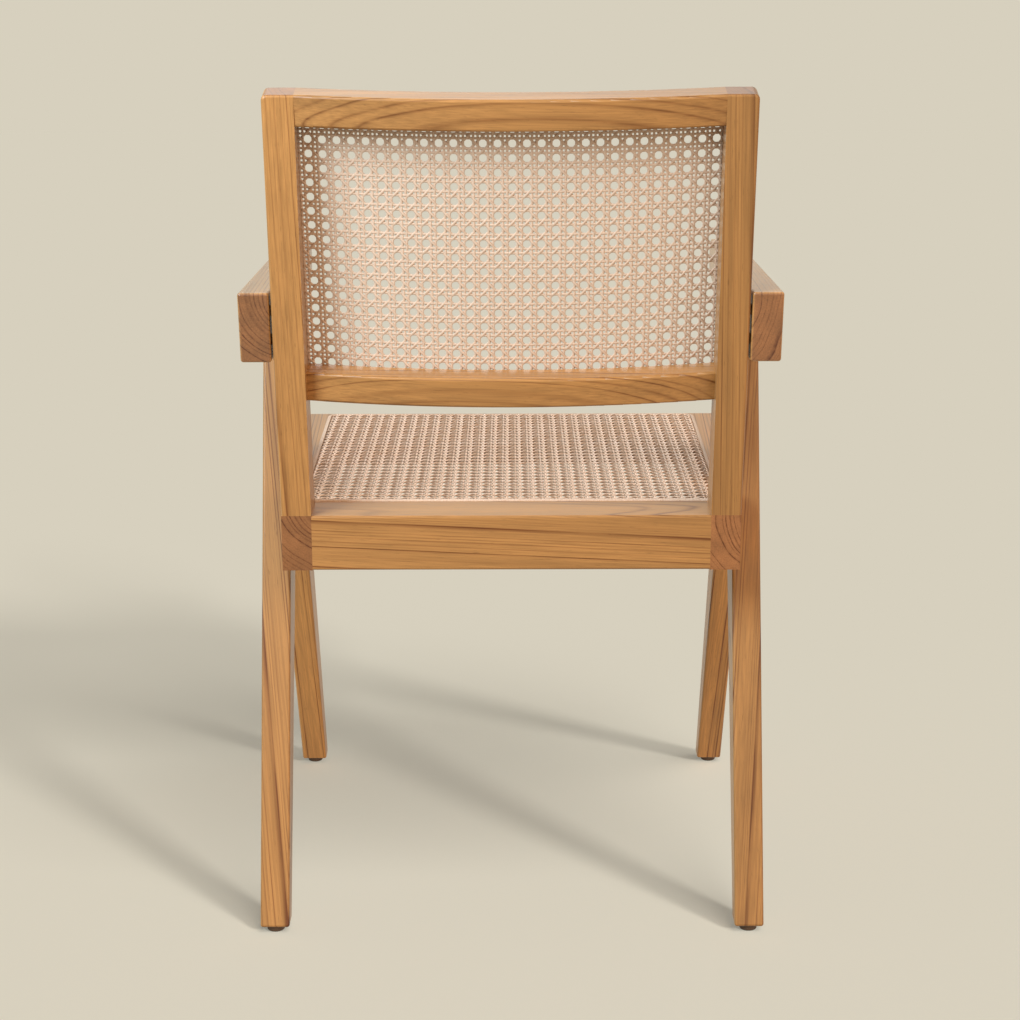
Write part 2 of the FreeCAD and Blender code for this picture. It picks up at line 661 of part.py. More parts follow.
def left_pieces():
    """Pieces of the left side, bored for their dowels, screws and nails."""
    rear_sole, front_sole = sole_places()
    legs_holes = leg_mitre_dowels(FIT_CLEARANCE) + arm_leg_dowels(FIT_CLEARANCE) + leg_screws(FIT_CLEARANCE)
    legs_holes += [glide_nail(place, FIT_CLEARANCE) for place in (rear_sole, front_sole)]
    arm_holes = arm_leg_dowels(FIT_CLEARANCE) + arm_stile_dowels(FIT_CLEARANCE)
    rail_holes = seat_rail_dowels(FIT_CLEARANCE) + stile_foot_dowels(FIT_CLEARANCE)
    rail_holes += leg_screws(FIT_CLEARANCE)
    stile_holes = back_rail_dowels(FIT_CLEARANCE) + stile_foot_dowels(FIT_CLEARANCE)
    stile_holes += arm_stile_dowels(FIT_CLEARANCE)
    return {
        "rear_leg": rear_leg().cut(legs_holes),
        "front_leg": front_leg().cut(legs_holes),
        "armrest": armrest().cut(arm_holes),
        "side_seat_rail": side_rail().cut(rail_holes + [seat_groove()]),
        "back_stile": back_stile().cut(stile_holes + [back_groove()]),
        "rear_glide": glide(rear_sole),
        "front_glide": glide(front_sole),
    }


def middle_pieces():
    """Pieces that run across the chair."""
    seat_cuts = both_sides(seat_rail_dowels(FIT_CLEARANCE)) + [seat_groove()]
    back_cuts = both_sides(back_rail_dowels(FIT_CLEARANCE)) + [back_groove()]
    return {
        "rear_seat_rail": rear_seat_rail().cut(seat_cuts),
        "front_seat_rail": front_seat_rail().cut(seat_cuts),
        "lower_back_rail": back_rail(LOWER_RAIL_DEPTH, LOWER_RAIL_RISE, LOWER_RAIL_HEIGHT).cut(back_cuts),
        "top_back_rail": back_rail(STILE_TOP_DEPTH, TOP_RAIL_RISE, TOP_RAIL_HEIGHT).cut(back_cuts),
        "seat_cane": seat_cane(),
        "seat_spline": seat_spline(),
        "back_cane": back_cane(),
        "back_spline": back_spline(),
    }


def fastener_groups():
    """Identical dowels, screws and nails, each set in one group of separate solids."""
    nails = [glide_nail(place) for place in sole_places()]
    return {
        "seat_rail_dowels": both_sides(seat_rail_dowels()),
        "back_rail_dowels": both_sides(back_rail_dowels()),
        "stile_foot_dowels": both_sides(stile_foot_dowels()),
        "arm_stile_dowels": both_sides(arm_stile_dowels()),
        "leg_mitre_dowels": both_sides(leg_mitre_dowels()),
        "arm_leg_dowels": both_sides(arm_leg_dowels()),
        "leg_screws": both_sides(leg_screws()),
        "glide_nails": both_sides(nails),
    }


def armchair():
    """All pieces by name, stood with the middle of the footprint at the origin."""
    pieces = {}
    for name, shape in left_pieces().items():
        pieces["left_" + name] = shape.Solids[0]
        pieces["right_" + name] = mirrored(shape).Solids[0]
    for name, shape in middle_pieces().items():
        pieces[name] = shape.Solids[0]
    for name, solids in fastener_groups().items():
        pieces[name] = Part.makeCompound(solids)
    middle = Part.makeCompound(list(pieces.values())).BoundBox.Center.y
    for shape in pieces.values():
        shape.translate(Vector(0, -middle, 0))
    return pieces


os.makedirs("parts", exist_ok=True)
for node, shape in armchair().items():
    shape.exportStep(f"parts/{node}.step")
    print(node, "solids:", len(shape.Solids), "mm3:", round(shape.Volume), "valid:", shape.isValid())
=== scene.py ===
# %% [markdown]
# # A teak armchair with cane panels
# The chair is already built as solids: boards, dowels, screws, splines and two plain cane nets.
# This lesson dresses those solids. It loads them as a fixed frame, places the camera and the light,
# gives each board its own teak, and weaves the two cane panels that take the place of the nets.
# Everything is in metres, with the floor at z = 0, and the sitter faces -Y.

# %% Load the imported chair
import json
import math

import bpy
import numpy as np
from mathutils import Matrix, Vector


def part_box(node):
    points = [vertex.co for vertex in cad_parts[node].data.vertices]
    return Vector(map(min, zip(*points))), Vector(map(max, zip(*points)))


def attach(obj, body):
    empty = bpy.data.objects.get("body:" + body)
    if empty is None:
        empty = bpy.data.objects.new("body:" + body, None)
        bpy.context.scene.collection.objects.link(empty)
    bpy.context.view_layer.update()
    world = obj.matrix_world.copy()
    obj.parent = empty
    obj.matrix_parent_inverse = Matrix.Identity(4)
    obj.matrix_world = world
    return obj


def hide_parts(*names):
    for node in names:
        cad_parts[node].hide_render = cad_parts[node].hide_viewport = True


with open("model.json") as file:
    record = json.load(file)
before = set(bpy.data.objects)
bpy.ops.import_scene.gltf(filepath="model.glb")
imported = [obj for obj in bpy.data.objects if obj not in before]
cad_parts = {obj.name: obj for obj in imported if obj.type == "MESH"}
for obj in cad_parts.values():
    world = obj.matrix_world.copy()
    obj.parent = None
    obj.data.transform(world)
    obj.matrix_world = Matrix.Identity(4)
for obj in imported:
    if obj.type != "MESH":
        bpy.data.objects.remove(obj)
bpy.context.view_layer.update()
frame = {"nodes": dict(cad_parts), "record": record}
nodes = frame["nodes"]
MM = 0.001

# %% [markdown]
# Three small helpers serve the whole file. Colours are written as hex values, as a paint card gives
# them, and one function turns them to the linear light that shaders mix. One adds a node to any tree,
# shader or geometry, with its settings, its ramp stops and its links, so that each material below
# reads as a list of what it is made of. One starts a new finish with its surface shader.

# %% Colours and nodes
def linear(hex_colour, level=1.0):
    """Linear colour with alpha from an sRGB hex value, lightened or darkened by a level."""
    channels = [int(hex_colour[i:i + 2], 16) / 255 for i in (1, 3, 5)]
    curved = [c / 12.92 if c <= 0.04045 else ((c + 0.055) / 1.055) ** 2.4 for c in channels]
    return (*[min(1.0, c * level) for c in curved], 1.0)


def add(tree, kind, inputs=None, stops=(), **settings):
    """Adds a node, sets its properties and ramp stops, and sets or links its inputs."""
    made = tree.nodes.new(kind)
    for name, value in settings.items():
        setattr(made, name, value)
    for index, (position, colour) in enumerate(stops):
        elements = made.color_ramp.elements
        stop = elements[index] if index < 2 else elements.new(position)
        stop.position = position
        stop.color = colour
    for socket, value in (inputs or {}).items():
        if isinstance(value, bpy.types.NodeSocket):
            tree.links.new(value, made.inputs[socket])
        else:
            made.inputs[socket].default_value = value
    return made


def finish_of(name):
    """New material, its emptied tree and its surface shader."""
    material = bpy.data.materials.new(name)
    material.use_nodes = True
    tree = material.node_tree
    tree.nodes.clear()
    shader = add(tree, "ShaderNodeBsdfPrincipled")
    add(tree, "ShaderNodeOutputMaterial", {"Surface": shader.outputs["BSDF"]})
    return material, tree, shader


# %% [markdown]
# The photograph was taken from behind the chair, a little above the seat back, with a long lens. The
# camera could be moved by eye until the picture agrees. Here its place was worked out from the seat's
# webbing, which is a square grid on the real chair: only one height and distance draw it as it is.
# The lens is kept in pixels of the square picture and turned into millimetres for Blender.

# %% Camera
PICTURE_WIDTH = 1020
LENS_PIXELS = 1954
SENSOR_WIDTH = 36.0
EYE_BEHIND_HEEL = 1.7520
EYE_HEIGHT = 0.803
EYE_LOOKS_DOWN = math.radians(12.4)
EYE_ROLL = math.radians(0.12)
CENTRE_LINE_PIXELS = 1.2
SIGHT_LIMIT = 200.0

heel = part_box("left_rear_leg")[1].y
eye = bpy.data.cameras.new("photo_eye")
eye.sensor_width = SENSOR_WIDTH
eye.lens = LENS_PIXELS / PICTURE_WIDTH * SENSOR_WIDTH
eye.shift_x = -CENTRE_LINE_PIXELS / PICTURE_WIDTH
eye.clip_end = SIGHT_LIMIT
camera = bpy.data.objects.new("photo_eye", eye)
turned = Matrix.Rotation(math.pi, 4, "Z") @ Matrix.Rotation(math.pi / 2 - EYE_LOOKS_DOWN, 4, "X")
place = Matrix.Translation((0, heel + EYE_BEHIND_HEEL, EYE_HEIGHT))
camera.matrix_world = place @ turned @ Matrix.Rotation(-EYE_ROLL, 4, "Z")
bpy.context.scene.collection.objects.link(camera)
bpy.context.scene.camera = camera
bpy.context.scene.view_settings.view_transform = "Standard"
print("camera lens", round(eye.lens, 2), "mm at", [round(v, 3) for v in camera.location])

# %% [markdown]
# The studio is one pale warm grey from the floor to the wall, with no line between them. A curved
# paper sweep would do that. A wide flat floor under a world of the same colour does it more simply.
# Rays that the camera or a shiny surface sends out see the pale colour, and the rest see a weak warm
# sky, so that the world lights the chair at a plain level and its shaded edges stay brown.

# %% Wall and floor
WALL = "#D7D0BE"
SKY_LEVEL = 0.17
SKY_COLOUR = "#FFDFC6"
FLOOR_HALF = 30.0


def rays_that_look(tree):
    """Socket that is 1 for rays from the camera, a reflection or a see-through surface, else 0."""
    path = add(tree, "ShaderNodeLightPath").outputs
    seen = path["Is Camera Ray"]
    for kind in ("Is Glossy Ray", "Is Transmission Ray"):
        seen = add(tree, "ShaderNodeMath", {0: seen, 1: path[kind]}, operation="MAXIMUM").outputs[0]
    return seen


scene_world = bpy.data.worlds.new("studio")
scene_world.use_nodes = True
bpy.context.scene.world = scene_world
tree = scene_world.node_tree
tree.nodes.clear()
sky = add(tree, "ShaderNodeBackground", {"Color": linear(SKY_COLOUR), "Strength": SKY_LEVEL})
wall = add(tree, "ShaderNodeBackground", {"Color": linear(WALL), "Strength": 1.0})
studio = add(tree, "ShaderNodeMixShader",
             {0: rays_that_look(tree), 1: sky.outputs["Background"], 2: wall.outputs["Background"]})
add(tree, "ShaderNodeOutputWorld", {"Surface": studio.outputs["Shader"]})

floor_mesh = bpy.data.meshes.new("studio_floor")
corners = [(-FLOOR_HALF, -FLOOR_HALF, 0), (FLOOR_HALF, -FLOOR_HALF, 0),
           (FLOOR_HALF, FLOOR_HALF, 0), (-FLOOR_HALF, FLOOR_HALF, 0)]
floor_mesh.from_pydata(corners, [], [(0, 1, 2, 3)])
floor = bpy.data.objects.new("studio_floor", floor_mesh)
bpy.context.scene.collection.objects.link(floor)
print("floor", 2 * FLOOR_HALF, "m wide")

# %% [markdown]
# The photograph shows three kinds of light. The wood and the back's cane are brightest on the left, and
# the stiles shade the edges of the cane. The seat is lit evenly, with no stile's shadow on it. The
# floor has only shadows that fall to the left. One set of lamps can't do all three, so light linking
# keeps them apart: each lamp has a collection that names what it lights, or else what it leaves out.
# The seat's cane joins its groups further down, when it has been woven.

# %% Groups for the lamps
GROUPS = {"floor_only": "INCLUDE", "seat_only": "INCLUDE", "chair": "EXCLUDE", "frame_and_back": "EXCLUDE"}
groups = {name: bpy.data.collections.new(name) for name in GROUPS}


def name_in(group, thing):
    """Names an object in a group, for the group's lamps to light alone or to leave out."""
    groups[group].objects.link(thing)
    for entry in groups[group].collection_objects:
        entry.light_linking.link_state = GROUPS[group]


for group in ("floor_only", "chair", "frame_and_back"):
    name_in(group, floor)
print("groups for the lamps", list(groups))

# %% [markdown]
# A softbox hangs close by on the left and is a little cool. A wide warm light on the right fills its
# shadows, and a light from the front glides over every top face. The seat's cane has a gliding light
# of its own in place of the softbox. On the floor, a low lamp throws the long shadows and a high one
# the soft dark patch under the seat. A level of 1 lights a white sheet that faces the lamp to plain
# white, so levels can be read and added.

# %% Lamps
CHAIR_MIDDLE = Vector((0.0, 0.17, 0.55))
SOFTBOX_DISTANCE = 1.75
SOFTBOX_SIZE = 0.9
SOFTBOX_TRAVEL = Vector((-0.62, -0.62, -0.52)).normalized()
SOFTBOX_LEVEL = 1.46
SOFTBOX_COLOUR = "#E6F3FF"
FROM_THE_FRONT = (-0.10, 0.62, -0.80)
SUNS = {
    "right_fill": {"travel": (0.78, -0.92, -0.50), "level": 0.66, "colour": "#FFDCC0", "softness": 70.0,
                   "group": "chair"},
    "front_glide": {"travel": FROM_THE_FRONT, "level": 0.30, "colour": "#FFFFFF", "softness": 50.0,
                    "group": "chair"},
    "seat_glide": {"travel": FROM_THE_FRONT, "level": 0.60, "colour": "#FFFFFF", "softness": 60.0,
                   "group": "seat_only"},
    "low_lamp": {"travel": (1.45, -1.60, -1.00), "level": 0.48, "colour": "#FFFFFF", "softness": 9.0,
                 "group": "floor_only"},
    "high_lamp": {"travel": (0.46, -0.70, -1.00), "level": 0.40, "colour": "#FFFFFF", "softness": 38.0,
                  "group": "floor_only"},
}


def hang(light, travel, place, group):
    """Puts a lamp into the scene, aimed the way its light travels, for one group."""
    holder = bpy.data.objects.new(light.name, light)
    holder.location = place
    holder.rotation_mode = "QUATERNION"
    holder.rotation_quaternion = travel.to_track_quat("-Z", "Y")
    holder.visible_camera = False
    holder.light_linking.receiver_collection = groups[group]
    bpy.context.scene.collection.objects.link(holder)
    print(light.name, "strength", round(light.energy, 2))


floor_level = Vector(linear(SKY_COLOUR)[:3]) * SKY_LEVEL
for name, lamp in SUNS.items():
    travel = Vector(lamp["travel"]).normalized()
    sun = bpy.data.lights.new(name, "SUN")
    sun.energy = math.pi * lamp["level"]
    sun.color = linear(lamp["colour"])[:3]
    sun.angle = math.radians(lamp["softness"])
    hang(sun, travel, (0, 0, 0), lamp["group"])
    if lamp["group"] == "floor_only":
        floor_level += Vector(sun.color) * lamp["level"] * -travel.z

softbox = bpy.data.lights.new("left_softbox", "AREA")
softbox.size = SOFTBOX_SIZE
softbox.color = linear(SOFTBOX_COLOUR)[:3]
softbox.energy = SOFTBOX_LEVEL * (math.pi * SOFTBOX_DISTANCE) ** 2
hang(softbox, SOFTBOX_TRAVEL, CHAIR_MIDDLE - SOFTBOX_TRAVEL * SOFTBOX_DISTANCE, "frame_and_back")

# %% [markdown]
# The floor's paper has the wall's colour. The warm sky and the floor's two lamps light it a little short
# of that, and a glow that only looking rays see makes up what is missing of red, green and blue. So
# the bare floor meets the wall without a line, and where the chair stands in a lamp's way the floor
# keeps its shadow.

# %% Floor paper
floor_paper, tree, shader = finish_of("matt_floor_paper")
glow = [paper * (1 - lit) for paper, lit in zip(linear(WALL), floor_level)]
shader.inputs["Base Color"].default_value = linear(WALL)
shader.inputs["Roughness"].default_value = 1.0
shader.inputs["Specular IOR Level"].default_value = 0.0
shader.inputs["Emission Color"].default_value = (*glow, 1.0)
tree.links.new(rays_that_look(tree), shader.inputs["Emission Strength"])
floor_mesh.materials.append(floor_paper)
print("floor lit to", [round(lit, 3) for lit in floor_level], "of the wall")

# %% [markdown]
# Teak is sawn from a log, so its figure is solid: the growth rings run round the log's heart, and a
# board shows whatever its faces cut. An image would slide over the edges, so the wood is worked out at
# each point of space instead. A Mapping node turns the chair's space into the board's own: x along the
# grain, y and z away from the log's heart, in millimetres. For that each board needs its long
# direction, which is read from its mesh as the main axis of its area.

# %% Direction of the grain
def grain_rows(board, thickness):
    """Matrix rows that turn the chair's space into along, across and through a board, and its middle."""
    mesh = board.data
    mesh.calc_loop_triangles()
    points = np.array([v.co for v in mesh.vertices])
    corners = points[np.array([t.vertices[:] for t in mesh.loop_triangles])]
    centres = corners.mean(axis=1)
    areas = np.linalg.norm(np.cross(corners[:, 1] - corners[:, 0], corners[:, 2] - corners[:, 0]), axis=1)
    middle = (centres * areas[:, None]).sum(axis=0) / areas.sum()
    spread = (centres - middle) * np.sqrt(areas)[:, None]
    along = Vector(np.linalg.svd(spread, full_matrices=False)[2][0]).normalized()
    if along.x + along.z < 0:
        along.negate()
    through = Vector(thickness)
    through = (through - along * through.dot(along)).normalized()
    return Matrix((along, through.cross(along), through)), Vector(middle)


# %% [markdown]
# On the photograph the teak is honey brown with a thin satin finish. Fine dark ring lines, 4 to 9 mm
# apart, run almost straight along each board: some years leave a strong line, some hardly any, and a
# line fades and comes back along its length. A wave texture would repeat itself. Instead the years are
# counted outwards from the log's heart, bent by slow noise that is drawn out along the grain, and the
# number of a year gives its line a strength of its own.

# %% Ring lines
RING_WIDTH = 4.8
RING_UNEVEN = 1.1
UNEVEN_SIZE = 17.0
RING_DRIFT = 6.0
WAVE_SIZE = 60.0
WAVE_RANGE = (0.2, 0.8)
MIDDLE_RANGE = (0.3, 0.7)
GRAIN_STRETCH = 30.0
RING_LINE = ((0.0, 1.0), (0.07, 0.6), (0.16, 0.15), (0.5, 0.0), (0.8, 0.15), (0.93, 0.6), (1.0, 1.0))
LINE_LUCK = (0.1, 1.2)
LINE_FADE = (0.4, 1.1)
FADE_WIDTH = 5.0
FADE_STRETCH = 22.0


def grain_streaks(tree, wood, size, stretch, detail, values, noise_range=MIDDLE_RANGE):
    """Socket of noise of a size across the grain, drawn out along it, that runs between two values."""
    drawn = add(tree, "ShaderNodeVectorMath", {0: wood, 1: (1 / stretch, 1, 1)}, operation="MULTIPLY")
    noise = add(tree, "ShaderNodeTexNoise",
                {"Vector": drawn.outputs[0], "Scale": 1 / size, "Detail": detail})
    streaks = add(tree, "ShaderNodeMapRange",
                  {"Value": noise.outputs["Fac"], "From Min": noise_range[0], "From Max": noise_range[1],
                   "To Min": values[0], "To Max": values[1]})
    return streaks.outputs["Result"]


def ring_lines(tree, wood, lines):
    """Socket of how dark the ring lines are at a point of the wood, for a board's strength of lines."""
    # distance from the heart, bent by slow waves along the board, counted in uneven years
    crosswise = add(tree, "ShaderNodeVectorMath", {0: wood, 1: (0, 1, 1)}, operation="MULTIPLY")
    radius = add(tree, "ShaderNodeVectorMath", {0: crosswise.outputs[0]}, operation="LENGTH")
    drift = grain_streaks(tree, wood, WAVE_SIZE, GRAIN_STRETCH, 1.0, (-RING_DRIFT, RING_DRIFT), WAVE_RANGE)
    bent = add(tree, "ShaderNodeMath", {0: radius.outputs["Value"], 1: drift}, operation="ADD")
    noise = add(tree, "ShaderNodeTexNoise", {"W": bent.outputs[0], "Scale": 1 / UNEVEN_SIZE, "Detail": 1.0},
                noise_dimensions="1D")
    uneven = add(tree, "ShaderNodeMapRange",
                 {"Value": noise.outputs["Fac"], "From Min": MIDDLE_RANGE[0], "From Max": MIDDLE_RANGE[1],
                  "To Min": -RING_UNEVEN, "To Max": RING_UNEVEN})
    even = add(tree, "ShaderNodeMath", {0: bent.outputs[0], 1: RING_WIDTH}, operation="DIVIDE")
    years = add(tree, "ShaderNodeMath", {0: even.outputs[0], 1: uneven.outputs["Result"]}, operation="ADD")
    # a dark line at the turn of each year, of its own strength, which fades and comes back
    season = add(tree, "ShaderNodeMath", {0: years.outputs[0]}, operation="FRACT")
    line = add(tree, "ShaderNodeValToRGB", {"Fac": season.outputs[0]},
               stops=[(at, (dark, dark, dark, 1)) for at, dark in RING_LINE])
    turn = add(tree, "ShaderNodeMath", {0: years.outputs[0]}, operation="ROUND")
    luck = add(tree, "ShaderNodeTexWhiteNoise", {"W": turn.outputs[0]}, noise_dimensions="1D")
    weakest, strongest = [share * lines for share in LINE_LUCK]
    strength = add(tree, "ShaderNodeMapRange",
                   {"Value": luck.outputs["Value"], "To Min": weakest, "To Max": strongest})
    fade = grain_streaks(tree, wood, FADE_WIDTH, FADE_STRETCH, 1.0, LINE_FADE)
    faded = add(tree, "ShaderNodeMath", {0: strength.outputs["Result"], 1: fade}, operation="MULTIPLY")
    drawn = add(tree, "ShaderNodeMath", {0: line.outputs["Color"], 1: faded.outputs[0]}, operation="MULTIPLY")
    return drawn.outputs[0]


# %% [markdown]
# Between the lines the wood isn't plain. Fine fibres run along it, paler and darker bands change it
# slowly, and open pores draw short dark dashes, wider than real so that they show. Each is noise that
# is drawn out along the grain, and together they lighten and darken the wood.

# %% Fibres, bands and pores
FIBRE_WIDTH = 1.3
FIBRE_STRETCH = 60.0
FIBRE_TONE = (0.82, 1.12)
BAND_WIDTH = 16.0
BAND_TONE = (0.86, 1.12)
PORE_WIDTH = 0.9
PORE_STRETCH = 14.0
PORE_TONE = (1.0, 0.75)
PORE_RANGE = (0.66, 0.76)


def wood_tones(tree, wood):
    """Sockets of the fibres' tone alone, and of fibres, bands and pores together."""
    fibres = grain_streaks(tree, wood, FIBRE_WIDTH, FIBRE_STRETCH, 3.0, FIBRE_TONE)
    bands = grain_streaks(tree, wood, BAND_WIDTH, GRAIN_STRETCH, 2.0, BAND_TONE)
    pores = grain_streaks(tree, wood, PORE_WIDTH, PORE_STRETCH, 1.0, PORE_TONE, PORE_RANGE)
    banded = add(tree, "ShaderNodeMath", {0: fibres, 1: bands}, operation="MULTIPLY")
    pored = add(tree, "ShaderNodeMath", {0: banded.outputs[0], 1: pores}, operation="MULTIPLY")
    return fibres, pored.outputs[0]


# %% [markdown]
# The finish is put together for one board at a time, from where the log's heart lies beside it, how the
# board leans in the log, how pale it is, how strong its lines are and how its finish was rubbed. Where
# a board is cut across, at the arms' and rails' ends, the wood is darker and redder and the rings show
# as arcs. The face's direction tells those ends from the sides. A thin coat gives the satin.

# %% Oiled teak
TEAK_PLAIN = "#AF7F48"
TEAK_LINE = "#653510"
TEAK_ROUGHNESS = (0.40, 0.54)
TEAK_SHINE = 0.25
TEAK_RELIEF = 0.1 * MM
TEAK_BUMP = 0.5
END_GRAIN_TINT = "#CEC0CC"
END_GRAIN_FACING = (0.75, 0.93)
LOG_SPACING = 173.0
COAT_SOCKETS = ("Coat Weight", "Coat IOR", "Coat Roughness")


def oiled_teak(name, rows, middle, heart, tilt, level, lines, coat, seed):
    """Teak for one board.

    heart is the log's centre from the board's middle, across and through, in mm. tilt is the board's
    lean in the log in degrees, level its paleness, which on the front legs is also painted light, lines
    the strength of its ring lines, and coat the weight, IOR and roughness of its finish.
    """
    material, tree, shader = finish_of("oiled_teak_" + name)
    lean_across, lean_through = [math.radians(angle) for angle in tilt]
    lean = Matrix.Rotation(lean_across, 3, "Z") @ Matrix.Rotation(lean_through, 3, "Y")
    turn = lean @ rows
    from_heart = Vector((seed * LOG_SPACING, -heart[0], -heart[1])) - turn @ (middle / MM)
    spot = add(tree, "ShaderNodeTexCoord")
    wood = add(tree, "ShaderNodeMapping", {"Vector": spot.outputs["Object"], "Location": from_heart,
                                           "Rotation": turn.to_euler(), "Scale": (1 / MM,) * 3})
    wood = wood.outputs["Vector"]
    fibres, tone = wood_tones(tree, wood)
    lined = add(tree, "ShaderNodeMix", {0: ring_lines(tree, wood, lines), 6: linear(TEAK_PLAIN, level),
                                        7: linear(TEAK_LINE, level)}, data_type="RGBA")
    toned = add(tree, "ShaderNodeMix", {0: 1.0, 6: lined.outputs[2], 7: tone},
                data_type="RGBA", blend_type="MULTIPLY")
    facing = add(tree, "ShaderNodeVectorMath", {0: spot.outputs["Normal"], 1: rows[0]},
                 operation="DOT_PRODUCT")
    facing = add(tree, "ShaderNodeMath", {0: facing.outputs["Value"]}, operation="ABSOLUTE")
    cut = add(tree, "ShaderNodeMapRange", {"Value": facing.outputs[0], "From Min": END_GRAIN_FACING[0],
                                           "From Max": END_GRAIN_FACING[1]})
    darker = add(tree, "ShaderNodeMix",
                 {0: cut.outputs["Result"], 6: toned.outputs[2], 7: linear(END_GRAIN_TINT)},
                 data_type="RGBA", blend_type="MULTIPLY")
    tree.links.new(darker.outputs[2], shader.inputs["Base Color"])
    gloss = add(tree, "ShaderNodeMapRange",
                {"Value": fibres, "From Min": FIBRE_TONE[0], "From Max": FIBRE_TONE[1],
                 "To Min": TEAK_ROUGHNESS[0], "To Max": TEAK_ROUGHNESS[1]})
    tree.links.new(gloss.outputs["Result"], shader.inputs["Roughness"])
    shader.inputs["Specular IOR Level"].default_value = TEAK_SHINE
    for socket, value in zip(COAT_SOCKETS, coat):
        shader.inputs[socket].default_value = value
    relief = add(tree, "ShaderNodeBump", {"Height": tone, "Strength": TEAK_BUMP, "Distance": TEAK_RELIEF})
    tree.links.new(relief.outputs["Normal"], shader.inputs["Normal"])
    return material


# %% [markdown]
# Each board now gets its own cut of wood. The side boards are sawn flat in the plane of the chair's
# side, so their thickness runs along X; the cross rails' thickness runs along Y. A heart far off to
# the side of the face that shows gives straight lines, one close behind it gives arches. Boards from
# different logs are paler or darker, with strong or faint lines. The front legs are paler still, which
# is painted light on faces that lie in shade. The arms, which hands touch most, have a smoother and
# glossier finish than the rest.

# %% Teak on every board
SIDEWAYS = (1, 0, 0)
REARWARD = (0, 1, 0)
# weight, IOR and roughness of the finish
TEAK_COAT = (0.7, 1.3, 0.3)
ARM_COAT = (0.9, 1.5, 0.2)
# way of the thickness, log's heart, lean in the log, paleness and strength of the lines
BOARDS = {
    "left_back_stile": (SIDEWAYS, (35, -95), (1.2, 0.6), 1.0, 1.0),
    "right_back_stile": (SIDEWAYS, (-30, 105), (-1.6, 1.4), 0.88, 1.0),
    "left_rear_leg": (SIDEWAYS, (40, 120), (1.0, 5.2), 0.92, 1.5),
    "right_rear_leg": (SIDEWAYS, (25, -130), (-1.5, -2.6), 0.93, 1.5),
    # the front legs' high levels are painted light: their faces lie in shade behind the seat and rear legs
    "left_front_leg": (SIDEWAYS, (-40, 90), (1.5, 2.2), 1.45, 1.3),
    "right_front_leg": (SIDEWAYS, (-30, -85), (1.2, -2.0), 1.35, 1.7),
    "left_armrest": (SIDEWAYS, (-42, -45), (0.8, 0.8), 0.86, 1.3),
    "right_armrest": (SIDEWAYS, (-34, 100), (0.8, -0.9), 1.14, 1.3),
    "left_side_seat_rail": (SIDEWAYS, (-60, -55), (0.7, 1.0), 0.95, 1.4),
    "right_side_seat_rail": (SIDEWAYS, (-40, -75), (0.9, -1.0), 1.25, 1.3),
    "rear_seat_rail": (REARWARD, (110, 20), (2.6, 0.8), 0.98, 1.35),
    "front_seat_rail": (REARWARD, (80, -30), (1.4, 0.5), 1.0, 1.0),
    "top_back_rail": (REARWARD, (26, 45), (1.0, 2.4), 0.92, 1.0),
    "lower_back_rail": (REARWARD, (50, 55), (1.6, -1.2), 1.0, 1.0),
}


def dress(name, material):
    """Puts one material on a solid."""
    slots = nodes[name].data.materials
    slots.clear()
    slots.append(material)


for seed, (name, (thickness, heart, tilt, level, lines)) in enumerate(BOARDS.items(), start=1):
    rows, middle = grain_rows(nodes[name], thickness)
    coat = ARM_COAT if name.endswith("_armrest") else TEAK_COAT
    dress(name, oiled_teak(name, rows, middle, heart, tilt, level, lines, coat, seed))
print("teak on", len(BOARDS), "boards")

# %% [markdown]
# The joints hide beech dowels, zinc-plated screws and steel nails, and each foot stands on a small
# moulded glide. They hardly show, but a part that is taken apart must not be grey inside, so each gets
# the finish of the real thing: pale compressed beech with short flecks, bluish bright plating, and a
# brown plastic with the faint orange-peel of its mould. All three are one plain colour that a fine
# grain makes a little lighter and darker, so one function starts them.

# %% Dowels, screws and glides
FINE_BUMP = 0.3
FINE_RELIEF = 0.1 * MM
BEECH_FLECK = 2.0
PLATING_GRAIN = 0.6
PLATING_ROUGHNESS = (0.22, 0.42)
GLIDE_GRAIN = 0.8


def grained(name, size, detail, tones, raised=False):
    """New finish whose colour has a grain of a size in mm, smooth or raised.

    Gives the material, its tree, its shader and the grain.
    """
    material, tree, shader = finish_of(name)
    spot = add(tree, "ShaderNodeTexCoord")
    grain = add(tree, "ShaderNodeTexNoise", {"Vector": spot.outputs["Object"], "Scale": 1 / (size * MM),
                                             "Detail": detail}).outputs["Fac"]
    tone = add(tree, "ShaderNodeValToRGB", {"Fac": grain},
               stops=[(at, linear(colour)) for at, colour in tones])
    tree.links.new(tone.outputs["Color"], shader.inputs["Base Color"])
    if raised:
        bump = add(tree, "ShaderNodeBump", {"Height": grain, "Strength": FINE_BUMP, "Distance": FINE_RELIEF})
        tree.links.new(bump.outputs["Normal"], shader.inputs["Normal"])
    return material, tree, shader, grain


beech, _, shader, _ = grained("compressed_beech", BEECH_FLECK, 3.0, [(0.3, "#B98F62"), (0.7, "#D9B88C")])
shader.inputs["Roughness"].default_value = 0.6

plating, tree, shader, grain = grained("zinc_plated_steel", PLATING_GRAIN, 2.0,
                                       [(0.3, "#A9ADB2"), (0.7, "#C9CCD0")])
gloss = add(tree, "ShaderNodeMapRange", {"Value": grain, "To Min": PLATING_ROUGHNESS[0],
                                         "To Max": PLATING_ROUGHNESS[1]})
tree.links.new(gloss.outputs["Result"], shader.inputs["Roughness"])
shader.inputs["Metallic"].default_value = 1.0

glide_plastic, _, shader, _ = grained("moulded_brown_plastic", GLIDE_GRAIN, 1.0,
                                      [(0.3, "#4A3524"), (0.7, "#5A432F")], raised=True)
shader.inputs["Roughness"].default_value = 0.5

